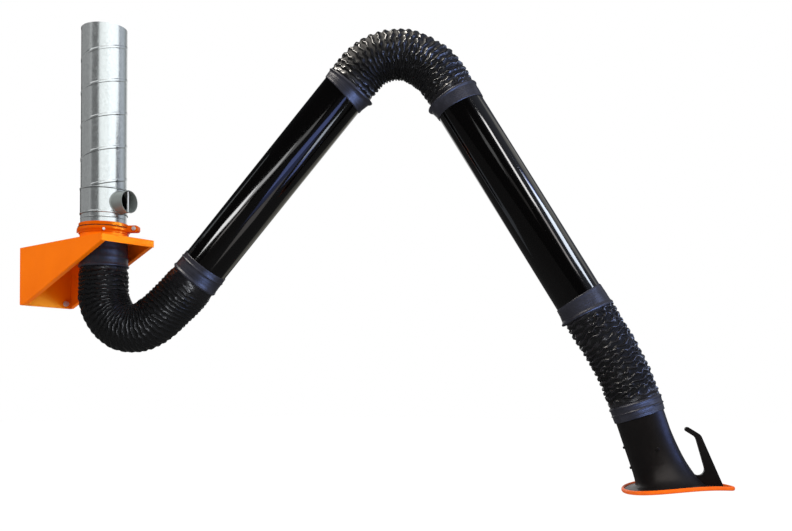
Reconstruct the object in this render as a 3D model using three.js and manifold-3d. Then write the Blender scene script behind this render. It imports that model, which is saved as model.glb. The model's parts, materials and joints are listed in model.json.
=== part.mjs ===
// Fume extraction arm: a wall console, a swivel with a duct above it, and a two-link arm with a hood.
// Millimetres, +Z up. The origin is the middle of the wall plate's back face, and +X points into the room.
// The arm lies in an upright plane through the swivel axis. In that plane a place is written as
// (reach, height): reach from the swivel axis, height from the top of the console.
import * as THREE from 'three';
import { mergeVertices } from 'three/addons/utils/BufferGeometryUtils.js';
import Module from 'manifold-3d';

const wasm = await Module();
wasm.setup();

const DEG = Math.PI / 180;
const GAP = 0.3; // clearance kept between pieces that touch
const ROUND = 24; // sides of a large round piece
const SMALL_ROUND = 12; // sides of a pin or a screw

// Console
const CONSOLE_WIDTH = 200;
const CONSOLE_DEPTH = 490;
const CONSOLE_HEIGHT = 200;
const APRON_HEIGHT = 24;
const SHEET = 3;
const WALL_PLATE_THICKNESS = 4;
const CHEEK_FOOT = 20; // level stretch of a cheek's lower edge beside the wall
const LIP_WIDTH = 13; // folded lip along a cheek's slanted edge
const WALL_BOLT_Y = 76;
const WALL_BOLT_Z = 82;
const WALL_BOLT_HOLE = 6;
const WALL_BOLT = { washer: 10.5, washerHeight: 2, head: 9.8, headHeight: 8.5, shank: 5, shankStart: 0.2 };
const LIP_SETBACK = 6; // the lip starts this far along the slanted edge

// Swivel and duct; heights are from the top of the console
const SWIVEL_X = 352;
const DUCT_RADIUS = 75;
const DUCT_WALL = 1.5;
const SWIVEL_TUBE_RADIUS = 73;
const SWIVEL_TUBE_BORE = 70;
const SWIVEL_TUBE_FOOT = -88;
const SWIVEL_FLANGE_RADIUS = 83.5;
const NECK_BORE = 74.5;
const NECK_RADIUS = 77;
const NECK_TOP = 34;
const SLIDE_RING_TOP = NECK_TOP + 2.3;
const SEAL_RING_HEIGHT = 2.5;
const NIPPLE_FOOT = 42.7;
const NIPPLE_TOP = 86;
const BRANCH_FOOT = 84;
const BRANCH_TOP = 170;
const BRANCH_YAW = 10 * DEG;
const BRANCH_LEVEL = 120;
const SPIGOT_RADIUS = 36;
const SPIGOT_REACH = 116;
const SPIGOT_SADDLE = 40;
const SPIGOT_SADDLE_REACH = 78;
const SPIGOT_BEAD = 1.5;
const DUCT_FOOT = 160;
const DUCT_TOP = 710;
const COLLAR_TOP = 64;
const COLLAR_FOOT = 20;
const COLLAR_WIDEST = 90;
const COLLAR_BAND = [33, 39]; // the widest stretch
const COLLAR_SHOULDER = 50;
const COLLAR_RIM = NECK_RADIUS + 4;
const LUG_YAW = 36 * DEG;
const LUG_REACH = 120;
const LUG_HALF_WIDTH = 13;
const LUG_LEVELS = [27, 49];
const LUG_SLIT = 4;
const LUG_BOLT = { inset: 13, radius: 4, head: 7.5, headHeight: 5.4, end: 20 };
const COLLAR_SCREW_YAWS = [-34 * DEG, -124 * DEG];
const COLLAR_SCREW_LEVEL = 27;
const COLLAR_SCREW = { radius: 2.9, head: 5, headHeight: 2.5 };
const FAR = 999; // longer than anything a cutting tool goes through

// Arm
const ARM_YAW = 30 * DEG;
const TUBE_RADIUS = 75;
const TUBE_WALL = 1.5;
const TUBE_LENGTH = 790;
const BASE_CORNER = [0, -510]; // where the swivel axis and the lower tube's axis meet
const LOWER_ELEVATION = 49.6 * DEG;
const LOWER_TUBE_START = 505; // along the lower axis, from the base corner
const ELBOW_CORNER_AT = 1570;
const UPPER_ELEVATION = -59.2 * DEG;
const UPPER_TUBE_START = 308; // along the upper axis, from the elbow corner
const WRIST_CORNER_AT = 1320;
const NECK_ELEVATION = -72.2 * DEG;

// Hoses and cuffs
const HOSE_CREST = 81;
const HOSE_ROOT = 76.5;
const HOSE_BORE = 72.5;
const HOSE_SIDES = 12;
const RIBS_PER_BORE_RING = 4;
const BASE_HOSE = { start: -92, end: 497, bend: 123, ribs: 36 };
const ELBOW_HOSE = { start: 1298, end: 301, bend: 170, ribs: 24 };
const WRIST_HOSE = { start: 1105, end: 94, bend: 780, ribs: 16 };
const CUFF_BORE = TUBE_RADIUS + GAP;
const CUFF_LIP = 77.5;
const CUFF_BODY = 79;
const CUFF_BEAD = 82.5;
const CUFF_BEAD_STEPS = [16, 9, 3]; // from the hose's end: where the bead starts, and its flat top
const BASE_TOP_CUFF_START = -8;
const BASE_CUFF_LENGTH = 48;
const LOWER_ELBOW_CUFF_LENGTH = 46;
const UPPER_ELBOW_CUFF_LENGTH = 42;
const WRIST_CUFF_LENGTH = 46;
const HOOD_CUFF_END = 143;

// Joints inside the hoses
const SHOULDER = [70, -318];
const ELBOW = [1008, 592];
const INNER_BAR = [13.5, 19.5]; // lever and tongue bars, as distances from the arm's plane
const DISC = [19.8, 21.7];
const OUTER_BAR = [22, 27]; // yoke and fork bars
const BAR_HALF_WIDTH = 13;
const EYE_RADIUS = 19;
const PIN_RADIUS = 8;
const PIN_HOLE = PIN_RADIUS + GAP;
const DISC_RADIUS = 17;
const NUT_RADIUS = 14;
const NUT_HEIGHT = 9;
const CROSSBAR_HALF_THICKNESS = 4;
const CROSSBAR_INSET = 60; // how far inside a tube its crossbar sits
const CROSSBAR_HALF_LENGTH = 71;
const YOKE_KNEE = [4, -190];
const YOKE_HANG = [0, -66];
const YOKE_HALF_LENGTH = 68;
const LEVER_KNEE_AT = 400;
const KNEE_INSET = 40; // the elbow's bars bend this far inside the hose
const WRIST_BRIDGE = [84, 94];
const SPRING = { radius: 12.5, wire: 4, turns: 4, pitch: 5, leg: 34, stepsPerTurn: 8, sides: 5 };

// Hood, in the neck's own frame: x along the neck from the wrist, z to the handle's side
const HOOD_SIDES = 32;
const HOOD_WALL = 3;
const HOOD_NECK_RADIUS = 73.5;
const HOOD_NECK_TOP = 100;
const HOOD_FLARE_AT = 205;
const MOUTH_TILT = 16.2 * DEG; // the mouth is nearly level while the neck leans
const MOUTH_ROOT = [364, 16]; // middle of the oval where the wall meets the flange
const MOUTH_ROOT_HALF = [93, 97];
const FLANGE_MIDDLE = [384, 38];
const FLANGE_HALF = [155, 160];
const FLANGE_NARROWING = 0.5; // the flange is narrower towards the handle
const FLANGE_ARCH = 10; // the long sides stand this much higher than the ends
const FLANGE_ARCH_LEAN = 18; // and more of it towards the handle
const MOUTH_ROOT_ARCH = 0.6; // share of that arch where the wall meets the flange
const TRIM_HALF = [4.5, 6];
const HANDLE_HALF_THICKNESS = 10;
const HANDLE_TIP = [222, 120];
const HANDLE_TIP_RADIUS = 7;
const STRUT_FACE = -69;
const STRUT_THICKNESS = 4;
const STRUT_HALF_WIDTH = 9;
const STRUT_TOP = 114;
const STRUT_FOOT = 296;
const HUB_HEIGHT = 8;
const HUB_RADIUS = 20;
const SPINDLE_RADIUS = 8;
const SPINDLE_FOOT = 142;
const HOOD_SCREWS_AT = [219, 283];
const HOOD_SCREW_RADIUS = 3;
const HOOD_SCREW_HEAD = 4;
const HOOD_SCREW_END = -62;
const DAMPER_AT = 247;
const DAMPER_OFFSET = 12; // the shaft stands this far to the handle's side of the neck's axis
const DAMPER_RADIUS = 61;
const DAMPER_SHAFT_RADIUS = 4;
const DAMPER_SHAFT_END = 79;
const DAMPER_BUTTON = { radius: 5, halfLength: 2 };
const DAMPER_THICKNESS = 2;

function paint(color, roughness, metalness) {
  return new THREE.MeshStandardMaterial({ color, roughness, metalness });
}

const ORANGE = paint('#f37400', 0.35, 0.1);
const GALVANISED = paint('#b9bec4', 0.35, 0.9);
const ZINC = paint('#a7abae', 0.4, 0.9);
const STEEL = paint('#6d7175', 0.45, 0.8);
const GLOSS_BLACK = paint('#0b0b0d', 0.12, 0.2);
const HOSE_BLACK = paint('#16161a', 0.5, 0);
const CUFF_GREY = paint('#2d2d3a', 0.4, 0);
const HOOD_BLACK = paint('#2d282a', 0.45, 0);
const TRIM_ORANGE = paint('#f05a0a', 0.45, 0);
const NYLON = paint('#d9d6cc', 0.6, 0);
const RUBBER = paint('#1b1b1b', 0.8, 0);

// Solids

function toSolid(geometry) {
  const bare = new THREE.BufferGeometry();
  bare.setAttribute('position', geometry.getAttribute('position'));
  bare.setIndex(geometry.index);
  const merged = mergeVertices(bare, 1e-3);
  const corners = Array.from(merged.index.array);
  const kept = [];
  for (let at = 0; at < corners.length; at += 3) {
    const [a, b, c] = corners.slice(at, at + 3);
    if (a !== b && b !== c && c !== a) kept.push(a, b, c);
  }
  const vertProperties = merged.attributes.position.array;
  const build = (triVerts) => new wasm.Manifold(new wasm.Mesh({ numProp: 3, vertProperties, triVerts }));
  const solid = build(new Uint32Array(kept));
  return solid.volume() > 0 ? solid : build(new Uint32Array(kept).reverse());
}

function toGeometry(solid) {
  const { vertProperties, triVerts, numProp } = solid.getMesh();
  const positions = new Float32Array((vertProperties.length / numProp) * 3);
  for (let at = 0; at < positions.length / 3; at += 1) {
    positions.set(vertProperties.subarray(at * numProp, at * numProp + 3), at * 3);
  }
  const geometry = new THREE.BufferGeometry();
  geometry.setAttribute('position', new THREE.BufferAttribute(positions, 3));
  geometry.setIndex(new THREE.BufferAttribute(triVerts, 1));
  geometry.computeVertexNormals();
  return geometry;
}

const join = (...geometries) => toGeometry(geometries.map(toSolid).reduce((a, b) => a.add(b)));
const cut = (geometry, ...tools) => {
  const solid = tools.map(toSolid).reduce((a, b) => a.subtract(b), toSolid(geometry));
  return toGeometry(solid);
};

function piece(parent, name, geometry, material) {
  const mesh = new THREE.Mesh(toGeometry(toSolid(geometry)), material);
  mesh.name = name;
  parent.add(mesh);
}

// Basic shapes: a turned piece stands on Z, or lies on X or Y

const turnToX = (geometry) => geometry.rotateY(Math.PI / 2);
const turnToY = (geometry) => geometry.rotateX(-Math.PI / 2);

function turned(profile, sides = ROUND) {
  const points = profile.map(([radius, along]) => new THREE.Vector2(radius, along));
  return new THREE.LatheGeometry(points, sides).rotateX(Math.PI / 2);
}

function ring(bore, radius, from, to, sides = ROUND) {
  return turned([[bore, from], [radius, from], [radius, to], [bore, to], [bore, from]], sides);
}

function rod(radius, from, to, sides = SMALL_ROUND) {
  return turned([[0, from], [radius, from], [radius, to], [0, to]], sides);
}

function block(from, to) {
  const size = to.map((value, axis) => value - from[axis]);
  const middle = to.map((value, axis) => (value + from[axis]) / 2);
  return new THREE.BoxGeometry(...size).translate(...middle);
}

// An outline in the X-Z plane, carried across from one Y to another
function acrossShape(shape, fromY, toY) {
  const depth = toY - fromY;
  const geometry = new THREE.ExtrudeGeometry(shape, { depth, bevelEnabled: false, curveSegments: 4 });
  return geometry.rotateX(Math.PI / 2).translate(0, toY, 0);
}

function across(outline, fromY, toY) {
  return acrossShape(new THREE.Shape(outline.map(([x, z]) => new THREE.Vector2(x, z))), fromY, toY);
}

// A flat bar with round ends from one place in the X-Z plane to another
function bar([fromX, fromZ], [toX, toZ], halfWidth, fromY, toY) {
  const heading = Math.atan2(toZ - fromZ, toX - fromX);
  const shape = new THREE.Shape();
  shape.absarc(toX, toZ, halfWidth, heading - Math.PI / 2, heading + Math.PI / 2, false);
  shape.absarc(fromX, fromZ, halfWidth, heading + Math.PI / 2, heading + Math.PI * 1.5, false);
  shape.closePath();
  return acrossShape(shape, fromY, toY);
}

// Places along an axis of the arm

const along = ([x, z], elevation, distance) => [
  x + distance * Math.cos(elevation),
  z + distance * Math.sin(elevation),
];
const ELBOW_CORNER = along(BASE_CORNER, LOWER_ELEVATION, ELBOW_CORNER_AT);
const WRIST = along(ELBOW_CORNER, UPPER_ELEVATION, WRIST_CORNER_AT);
const onLower = (distance) => along(BASE_CORNER, LOWER_ELEVATION, distance);
const onUpper = (distance) => along(ELBOW_CORNER, UPPER_ELEVATION, distance);
const onNeck = (distance) => along(WRIST, NECK_ELEVATION, distance);

// A group whose X runs along an axis of the arm
function axisGroup(parent, [x, z], elevation) {
  const group = new THREE.Group();
  group.position.set(x, 0, z);
  group.rotation.y = -elevation;
  parent.add(group);
  return group;
}

// Ribbed hoses

// Straight from start towards the corner, a round bend, and straight on to end
function bentPath(start, corner, end, bend) {
  const [first, middle, last] = [start, corner, end].map(([x, z]) => new THREE.Vector2(x, z));
  const into = middle.clone().sub(first).normalize();
  const out = last.clone().sub(middle).normalize();
  const turn = into.angleTo(out);
  const side = Math.sign(into.cross(out));
  const bendStart = middle.clone().addScaledVector(into, -bend * Math.tan(turn / 2));
  const centre = new THREE.Vector2(-into.y, into.x).multiplyScalar(side * bend).add(bendStart);
  const straightIn = bendStart.distanceTo(first);
  const straightOut = last.distanceTo(middle) - bend * Math.tan(turn / 2);
  const length = straightIn + bend * turn + straightOut;
  const origin = new THREE.Vector2();
  return {
    length,
    at(distance) {
      const turned = THREE.MathUtils.clamp((distance - straightIn) / bend, 0, turn) * side;
      const heading = into.clone().rotateAround(origin, turned);
      const place = bendStart.clone().rotateAround(centre, turned);
      const before = Math.min(distance - straightIn, 0);
      const after = Math.max(distance - length + straightOut, 0);
      return { place: place.addScaledVector(heading, before + after), heading };
    },
  };
}

function ribbedHose(path, ribs) {
  const positions = [];
  const corners = [];
  const addRing = (distance, radius) => {
    const { place, heading } = path.at(distance);
    for (let side = 0; side < HOSE_SIDES; side += 1) {
      const angle = (2 * Math.PI * side) / HOSE_SIDES;
      const outward = radius * Math.cos(angle);
      positions.push(place.x - heading.y * outward, radius * Math.sin(angle), place.y + heading.x * outward);
    }
  };
  const ribLength = path.length / ribs;
  let rings = 0;
  for (let half = 0; half <= 2 * ribs; half += 1) {
    addRing((half * ribLength) / 2, half % 2 ? HOSE_CREST : HOSE_ROOT);
    rings += 1;
  }
  for (let rib = ribs; rib >= 0; rib -= RIBS_PER_BORE_RING) {
    addRing(rib * ribLength, HOSE_BORE);
    rings += 1;
  }
  for (let from = 0; from < rings; from += 1) {
    const next = (from + 1) % rings;
    for (let side = 0; side < HOSE_SIDES; side += 1) {
      const beside = (side + 1) % HOSE_SIDES;
      const [a, b] = [from * HOSE_SIDES + side, from * HOSE_SIDES + beside];
      const [c, d] = [next * HOSE_SIDES + side, next * HOSE_SIDES + beside];
      corners.push(a, b, d, a, d, c);
    }
  }
  const geometry = new THREE.BufferGeometry();
  geometry.setAttribute('position', new THREE.Float32BufferAttribute(positions, 3));
  geometry.setIndex(corners);
  return geometry;
}

// A smooth cuff from the tube end to the hose end, thicker where it grips the hose
function cuff(tubeEnd, hoseEnd, bore = CUFF_BORE) {
  const toHose = Math.sign(hoseEnd - tubeEnd);
  const faceEnd = hoseEnd - GAP * toHose;
  const [beadStart, beadTop, beadEnd] = CUFF_BEAD_STEPS.map((step) => faceEnd - step * toHose);
  return turned([
    [bore, tubeEnd],
    [CUFF_LIP - 1, tubeEnd],
    [CUFF_LIP, tubeEnd + 2 * toHose],
    [CUFF_BODY, beadStart],
    [CUFF_BEAD, beadTop],
    [CUFF_BEAD, beadEnd],
    [CUFF_BODY, faceEnd],
    [bore, faceEnd],
    [bore, tubeEnd],
  ]);
}

// Joint hardware: pivots run across the arm, along Y

const pivotHole = ([x, z]) => turnToY(rod(PIN_HOLE, -FAR, FAR, 16)).translate(x, 0, z);
const bothSides = ([near, far]) => [[near, far], [-far, -near]];

// Two flat bars side by side, from a pivot eye through the given places
function pairOfBars(span, pivot, ...places) {
  const route = [pivot, ...places];
  const nearlyThere = [pivot[0] + 0.1, pivot[1]];
  return bothSides(span).flatMap(([fromY, toY]) => [
    bar(pivot, nearlyThere, EYE_RADIUS, fromY, toY),
    ...places.map((place, index) => bar(route[index], place, BAR_HALF_WIDTH, fromY, toY)),
  ]);
}

// A crossbar that carries a pair of bars inside a tube, square to the tube's axis
function crossbar([x, z], elevation, halfLength) {
  const corner = [CROSSBAR_HALF_THICKNESS, halfLength, BAR_HALF_WIDTH];
  return block(corner.map((half) => -half), corner).rotateY(-elevation).translate(x, 0, z);
}

function pivotHardware(parent, joint, [x, z]) {
  const place = (geometry) => turnToY(geometry).translate(x, 0, z);
  const seat = OUTER_BAR[1] + GAP;
  const head = rod(NUT_RADIUS, -seat - NUT_HEIGHT, -seat, 6);
  const shank = rod(PIN_RADIUS, -seat - 1, seat + NUT_HEIGHT + 3);
  piece(parent, `${joint}_pin`, place(join(head, shank)), ZINC);
  const nut = cut(rod(NUT_RADIUS, seat, seat + NUT_HEIGHT, 6), rod(PIN_HOLE, 0, FAR));
  piece(parent, `${joint}_nut`, place(nut), ZINC);
  bothSides(DISC).forEach(([fromY, toY], index) => {
    const disc = ring(PIN_HOLE, DISC_RADIUS, fromY, toY, SMALL_ROUND);
    piece(parent, `${joint}_disc_${index ? 'near' : 'far'}`, place(disc), NYLON);
  });
}

// Console

const model = new THREE.Group();
const top = CONSOLE_HEIGHT / 2;
const halfWidth = CONSOLE_WIDTH / 2;
const innerHalf = halfWidth - SHEET;

function addConsole() {
  const plateHalf = innerHalf - GAP;
  const plate = block([0, -plateHalf, -top], [WALL_PLATE_THICKNESS, plateHalf, top - SHEET - GAP]);
  const boltPlaces = [
    [-WALL_BOLT_Y, -WALL_BOLT_Z],
    [WALL_BOLT_Y, -WALL_BOLT_Z],
    [-WALL_BOLT_Y, WALL_BOLT_Z],
    [WALL_BOLT_Y, WALL_BOLT_Z],
  ];
  const holes = boltPlaces.map(([y, z]) => turnToX(rod(WALL_BOLT_HOLE, -FAR, FAR)).translate(0, y, z));
  piece(model, 'wall_plate', cut(plate, ...holes), ORANGE);

  boltPlaces.forEach(([y, z], index) => {
    const seat = WALL_PLATE_THICKNESS + GAP;
    const washer = rod(WALL_BOLT.washer, seat, seat + WALL_BOLT.washerHeight);
    const head = rod(WALL_BOLT.head, seat + 1, seat + WALL_BOLT.headHeight, 6);
    const shank = rod(WALL_BOLT.shank, WALL_BOLT.shankStart, seat + 2);
    const bolt = turnToX(join(washer, head, shank)).translate(0, y, z);
    piece(model, `wall_bolt_${index + 1}`, bolt, ZINC);
  });

  const front = CONSOLE_DEPTH - SHEET - GAP;
  const apronFoot = top - APRON_HEIGHT;
  const slope = Math.atan2(apronFoot + top, front - CHEEK_FOOT);
  const lipRise = SHEET / Math.cos(slope);
  const cheekOutline = [[0, top], [0, -top], [CHEEK_FOOT, -top], [front, apronFoot], [front, top]];
  const lipStart = [CHEEK_FOOT + LIP_SETBACK, -top + LIP_SETBACK * Math.tan(slope)];
  const lipEnd = [front, apronFoot];
  const risen = ([x, z]) => [x, z + lipRise];
  const lipOutline = [lipStart, lipEnd, risen(lipEnd), risen(lipStart)];
  const addCheek = (name, [outer, inner], [lipOuter, lipInner]) => {
    const cheek = join(across(cheekOutline, outer, inner), across(lipOutline, lipOuter, lipInner));
    piece(model, name, cheek, ORANGE);
  };
  const lipEdge = innerHalf - LIP_WIDTH;
  addCheek('cheek_near', [-halfWidth, -innerHalf], [1 - halfWidth, -lipEdge]);
  addCheek('cheek_far', [innerHalf, halfWidth], [lipEdge, halfWidth - 1]);
}

// Swivel and duct

const tower = new THREE.Group();
tower.position.set(SWIVEL_X, 0, top);
model.add(tower);

const radially = (geometry, yaw, level) => turnToX(geometry).rotateZ(yaw).translate(0, 0, level);

function addTopPlate() {
  const front = CONSOLE_DEPTH - SWIVEL_X;
  const plate = block([-SWIVEL_X, -innerHalf + GAP, -SHEET], [front, innerHalf - GAP, 0]);
  const apron = block([front - SHEET, -halfWidth, -APRON_HEIGHT], [front, halfWidth, 0]);
  piece(tower, 'top_plate', cut(join(plate, apron), rod(NECK_BORE, -FAR, FAR, ROUND)), ORANGE);
}

function addSwivelStack() {
  const flange = SWIVEL_FLANGE_RADIUS;
  const consoleNeck = [
    [NECK_BORE, GAP],
    [NECK_RADIUS, GAP],
    [NECK_RADIUS, NECK_TOP - SHEET],
    [flange, NECK_TOP - SHEET],
    [flange, NECK_TOP],
    [NECK_BORE, NECK_TOP],
    [NECK_BORE, GAP],
  ];
  piece(tower, 'console_neck', turned(consoleNeck), ORANGE);
  piece(tower, 'slide_ring', ring(NECK_BORE, flange, NECK_TOP + GAP, SLIDE_RING_TOP), NYLON);
  const sealTop = NIPPLE_FOOT - GAP;
  piece(tower, 'seal_ring', ring(NECK_BORE, flange, sealTop - SEAL_RING_HEIGHT, sealTop), RUBBER);

  const nippleBore = DUCT_RADIUS - 2 * DUCT_WALL;
  const nippleRadius = DUCT_RADIUS - DUCT_WALL - GAP;
  const nipple = [
    [nippleBore, NIPPLE_FOOT],
    [flange, NIPPLE_FOOT],
    [flange, NIPPLE_FOOT + SHEET],
    [DUCT_RADIUS, NIPPLE_FOOT + SHEET],
    [DUCT_RADIUS, BRANCH_FOOT - GAP],
    [nippleRadius, BRANCH_FOOT - GAP],
    [nippleRadius, NIPPLE_TOP],
    [nippleBore, NIPPLE_TOP],
    [nippleBore, NIPPLE_FOOT],
  ];
  piece(tower, 'duct_nipple', turned(nipple), GALVANISED);
}

function addCollar() {
  const inner = SWIVEL_FLANGE_RADIUS + 5 * GAP;
  const groove = [NECK_TOP - SHEET - GAP, NIPPLE_FOOT + SHEET + GAP]; // holds the stacked flanges
  const outline = [
    [NECK_RADIUS + GAP, COLLAR_FOOT],
    [COLLAR_RIM, COLLAR_FOOT],
    [COLLAR_WIDEST, COLLAR_BAND[0]],
    [COLLAR_WIDEST, COLLAR_BAND[1]],
    [COLLAR_RIM, COLLAR_SHOULDER],
    [COLLAR_RIM, COLLAR_TOP],
    [DUCT_RADIUS + GAP, COLLAR_TOP],
    [DUCT_RADIUS + GAP, groove[1]],
    [inner, groove[1]],
    [inner, groove[0]],
    [NECK_RADIUS + GAP, groove[0]],
    [NECK_RADIUS + GAP, COLLAR_FOOT],
  ];
  const [lugFoot, lugTop] = LUG_LEVELS;
  const lugFrom = [COLLAR_WIDEST - 4, -LUG_HALF_WIDTH, lugFoot];
  const lug = block(lugFrom, [LUG_REACH, LUG_HALF_WIDTH, lugTop]).rotateZ(LUG_YAW);
  const slit = block([DUCT_RADIUS - 9, -LUG_SLIT / 2, 0], [FAR, LUG_SLIT / 2, FAR]).rotateZ(LUG_YAW);
  const boltAt = [LUG_REACH - LUG_BOLT.inset, 0, (lugFoot + lugTop) / 2];
  const acrossLug = (geometry) => turnToY(geometry).translate(...boltAt).rotateZ(LUG_YAW);
  const boltHole = acrossLug(rod(LUG_BOLT.radius + GAP, -FAR, FAR));
  const onCollar = (geometry, yaw) => radially(geometry, yaw, COLLAR_SCREW_LEVEL);
  const screwHole = COLLAR_SCREW.radius + GAP;
  const screwHoles = COLLAR_SCREW_YAWS.map((yaw) => onCollar(rod(screwHole, NECK_RADIUS - 9, FAR), yaw));
  const collar = cut(join(turned(outline), lug), slit, boltHole, ...screwHoles);
  piece(tower, 'swivel_collar', collar, ORANGE);

  const headSeat = LUG_HALF_WIDTH + GAP;
  const headEnd = headSeat + LUG_BOLT.headHeight;
  const bolt = join(
    rod(LUG_BOLT.head, -headEnd, -headSeat, 6),
    rod(LUG_BOLT.radius, -headSeat - 1, LUG_BOLT.end),
    rod(LUG_BOLT.head, headSeat, headEnd, 6),
  );
  piece(tower, 'collar_bolt', acrossLug(bolt), ZINC);
  COLLAR_SCREW_YAWS.forEach((yaw, index) => {
    const shank = rod(COLLAR_SCREW.radius, NECK_RADIUS + 2 * GAP, COLLAR_WIDEST);
    const head = rod(COLLAR_SCREW.head, COLLAR_WIDEST - 1, COLLAR_WIDEST + COLLAR_SCREW.headHeight, 6);
    piece(tower, `collar_screw_${index + 1}`, onCollar(join(shank, head), yaw), ZINC);
  });
}

function addDuct() {
  const collarBore = DUCT_RADIUS + GAP;
  const collarRadius = collarBore + 1;
  const bore = SPIGOT_RADIUS - DUCT_WALL;
  const onBranch = (geometry) => radially(geometry, BRANCH_YAW, BRANCH_LEVEL);
  const band = ring(collarBore, collarRadius, BRANCH_FOOT, BRANCH_TOP);
  piece(tower, 'branch_collar', cut(band, onBranch(rod(bore, 0, FAR, ROUND))), GALVANISED);

  const spigot = turned([
    [bore, 0],
    [SPIGOT_SADDLE, 0],
    [SPIGOT_SADDLE, SPIGOT_SADDLE_REACH],
    [SPIGOT_RADIUS, SPIGOT_SADDLE_REACH + 6],
    [SPIGOT_RADIUS, SPIGOT_REACH - 4],
    [SPIGOT_RADIUS + SPIGOT_BEAD, SPIGOT_REACH - 2],
    [SPIGOT_RADIUS + SPIGOT_BEAD, SPIGOT_REACH],
    [bore, SPIGOT_REACH],
    [bore, 0],
  ]);
  const saddled = cut(onBranch(spigot), rod(collarRadius + GAP, 0, FAR, ROUND));
  piece(tower, 'branch_spigot', saddled, GALVANISED);

  piece(tower, 'spiral_duct', ring(DUCT_RADIUS - DUCT_WALL, DUCT_RADIUS, DUCT_FOOT, DUCT_TOP), GALVANISED);
}

// Arm

const arm = new THREE.Group();
arm.rotation.z = ARM_YAW;
tower.add(arm);
const lower = axisGroup(arm, BASE_CORNER, LOWER_ELEVATION);
const upper = axisGroup(arm, ELBOW_CORNER, UPPER_ELEVATION);
const neck = axisGroup(arm, WRIST, NECK_ELEVATION);

function springTurns() {
  const { radius, wire, turns, pitch, leg, stepsPerTurn, sides } = SPRING;
  const steps = turns * stepsPerTurn;
  const points = [];
  for (let step = 0; step <= steps; step += 1) {
    const angle = (2 * Math.PI * step) / stepsPerTurn;
    const y = pitch * turns * (step / steps - 0.5);
    points.push(new THREE.Vector3(radius * Math.cos(angle), y, radius * Math.sin(angle)));
  }
  points.unshift(new THREE.Vector3(radius, points[0].y, -leg));
  points.push(new THREE.Vector3(radius, points[points.length - 1].y, leg));
  const angles = Array.from({ length: sides }, (_, side) => (2 * Math.PI * side) / sides);
  const corner = (angle) => new THREE.Vector2(Math.cos(angle), Math.sin(angle)).multiplyScalar(wire / 2);
  const section = new THREE.Shape(angles.map(corner));
  const extrudePath = new THREE.CatmullRomCurve3(points);
  console.log(`least gap between the spring's turns: ${leastGap(extrudePath.getSpacedPoints(400), wire)} mm`);
  const settings = { extrudePath, steps: steps + stepsPerTurn, bevelEnabled: false };
  return new THREE.ExtrudeGeometry(section, settings);
}

// Least clear distance between stretches of a wire that are more than two wire widths apart along it
function leastGap(points, wire) {
  const spacing = points[0].distanceTo(points[1]);
  const apart = Math.ceil((3 * wire) / spacing);
  let least = Infinity;
  points.forEach((point, index) => {
    points.slice(index + apart).forEach((other) => {
      least = Math.min(least, point.distanceTo(other) - wire);
    });
  });
  return least.toFixed(2);
}

function addShoulder() {
  const flangeFoot = SLIDE_RING_TOP + GAP;
  const swivelTube = turned([
    [SWIVEL_TUBE_BORE, SWIVEL_TUBE_FOOT],
    [SWIVEL_TUBE_RADIUS, SWIVEL_TUBE_FOOT],
    [SWIVEL_TUBE_RADIUS, flangeFoot],
    [SWIVEL_FLANGE_RADIUS, flangeFoot],
    [SWIVEL_FLANGE_RADIUS, flangeFoot + SHEET],
    [SWIVEL_TUBE_BORE, flangeFoot + SHEET],
    [SWIVEL_TUBE_BORE, SWIVEL_TUBE_FOOT],
  ]);
  piece(arm, 'swivel_tube', swivelTube, STEEL);
  const topCuff = cuff(BASE_TOP_CUFF_START, BASE_HOSE.start, SWIVEL_TUBE_RADIUS + GAP);
  piece(arm, 'cuff_base_top', topCuff, CUFF_GREY);

  const yoke = join(
    ...pairOfBars(OUTER_BAR, SHOULDER, YOKE_KNEE, YOKE_HANG),
    crossbar(YOKE_HANG, -Math.PI / 2, YOKE_HALF_LENGTH),
  );
  piece(arm, 'shoulder_yoke', cut(yoke, pivotHole(SHOULDER)), STEEL);
  pivotHardware(arm, 'shoulder', SHOULDER);
  piece(arm, 'balance_spring', springTurns().translate(SHOULDER[0], 0, SHOULDER[1]), STEEL);

  const path = bentPath([0, BASE_HOSE.start], BASE_CORNER, onLower(BASE_HOSE.end), BASE_HOSE.bend);
  piece(arm, 'base_hose', ribbedHose(path, BASE_HOSE.ribs), HOSE_BLACK);
}

function addTube(parent, name, start) {
  const tube = ring(TUBE_RADIUS - TUBE_WALL, TUBE_RADIUS, start, start + TUBE_LENGTH);
  piece(parent, name, turnToX(tube), GLOSS_BLACK);
}

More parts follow.
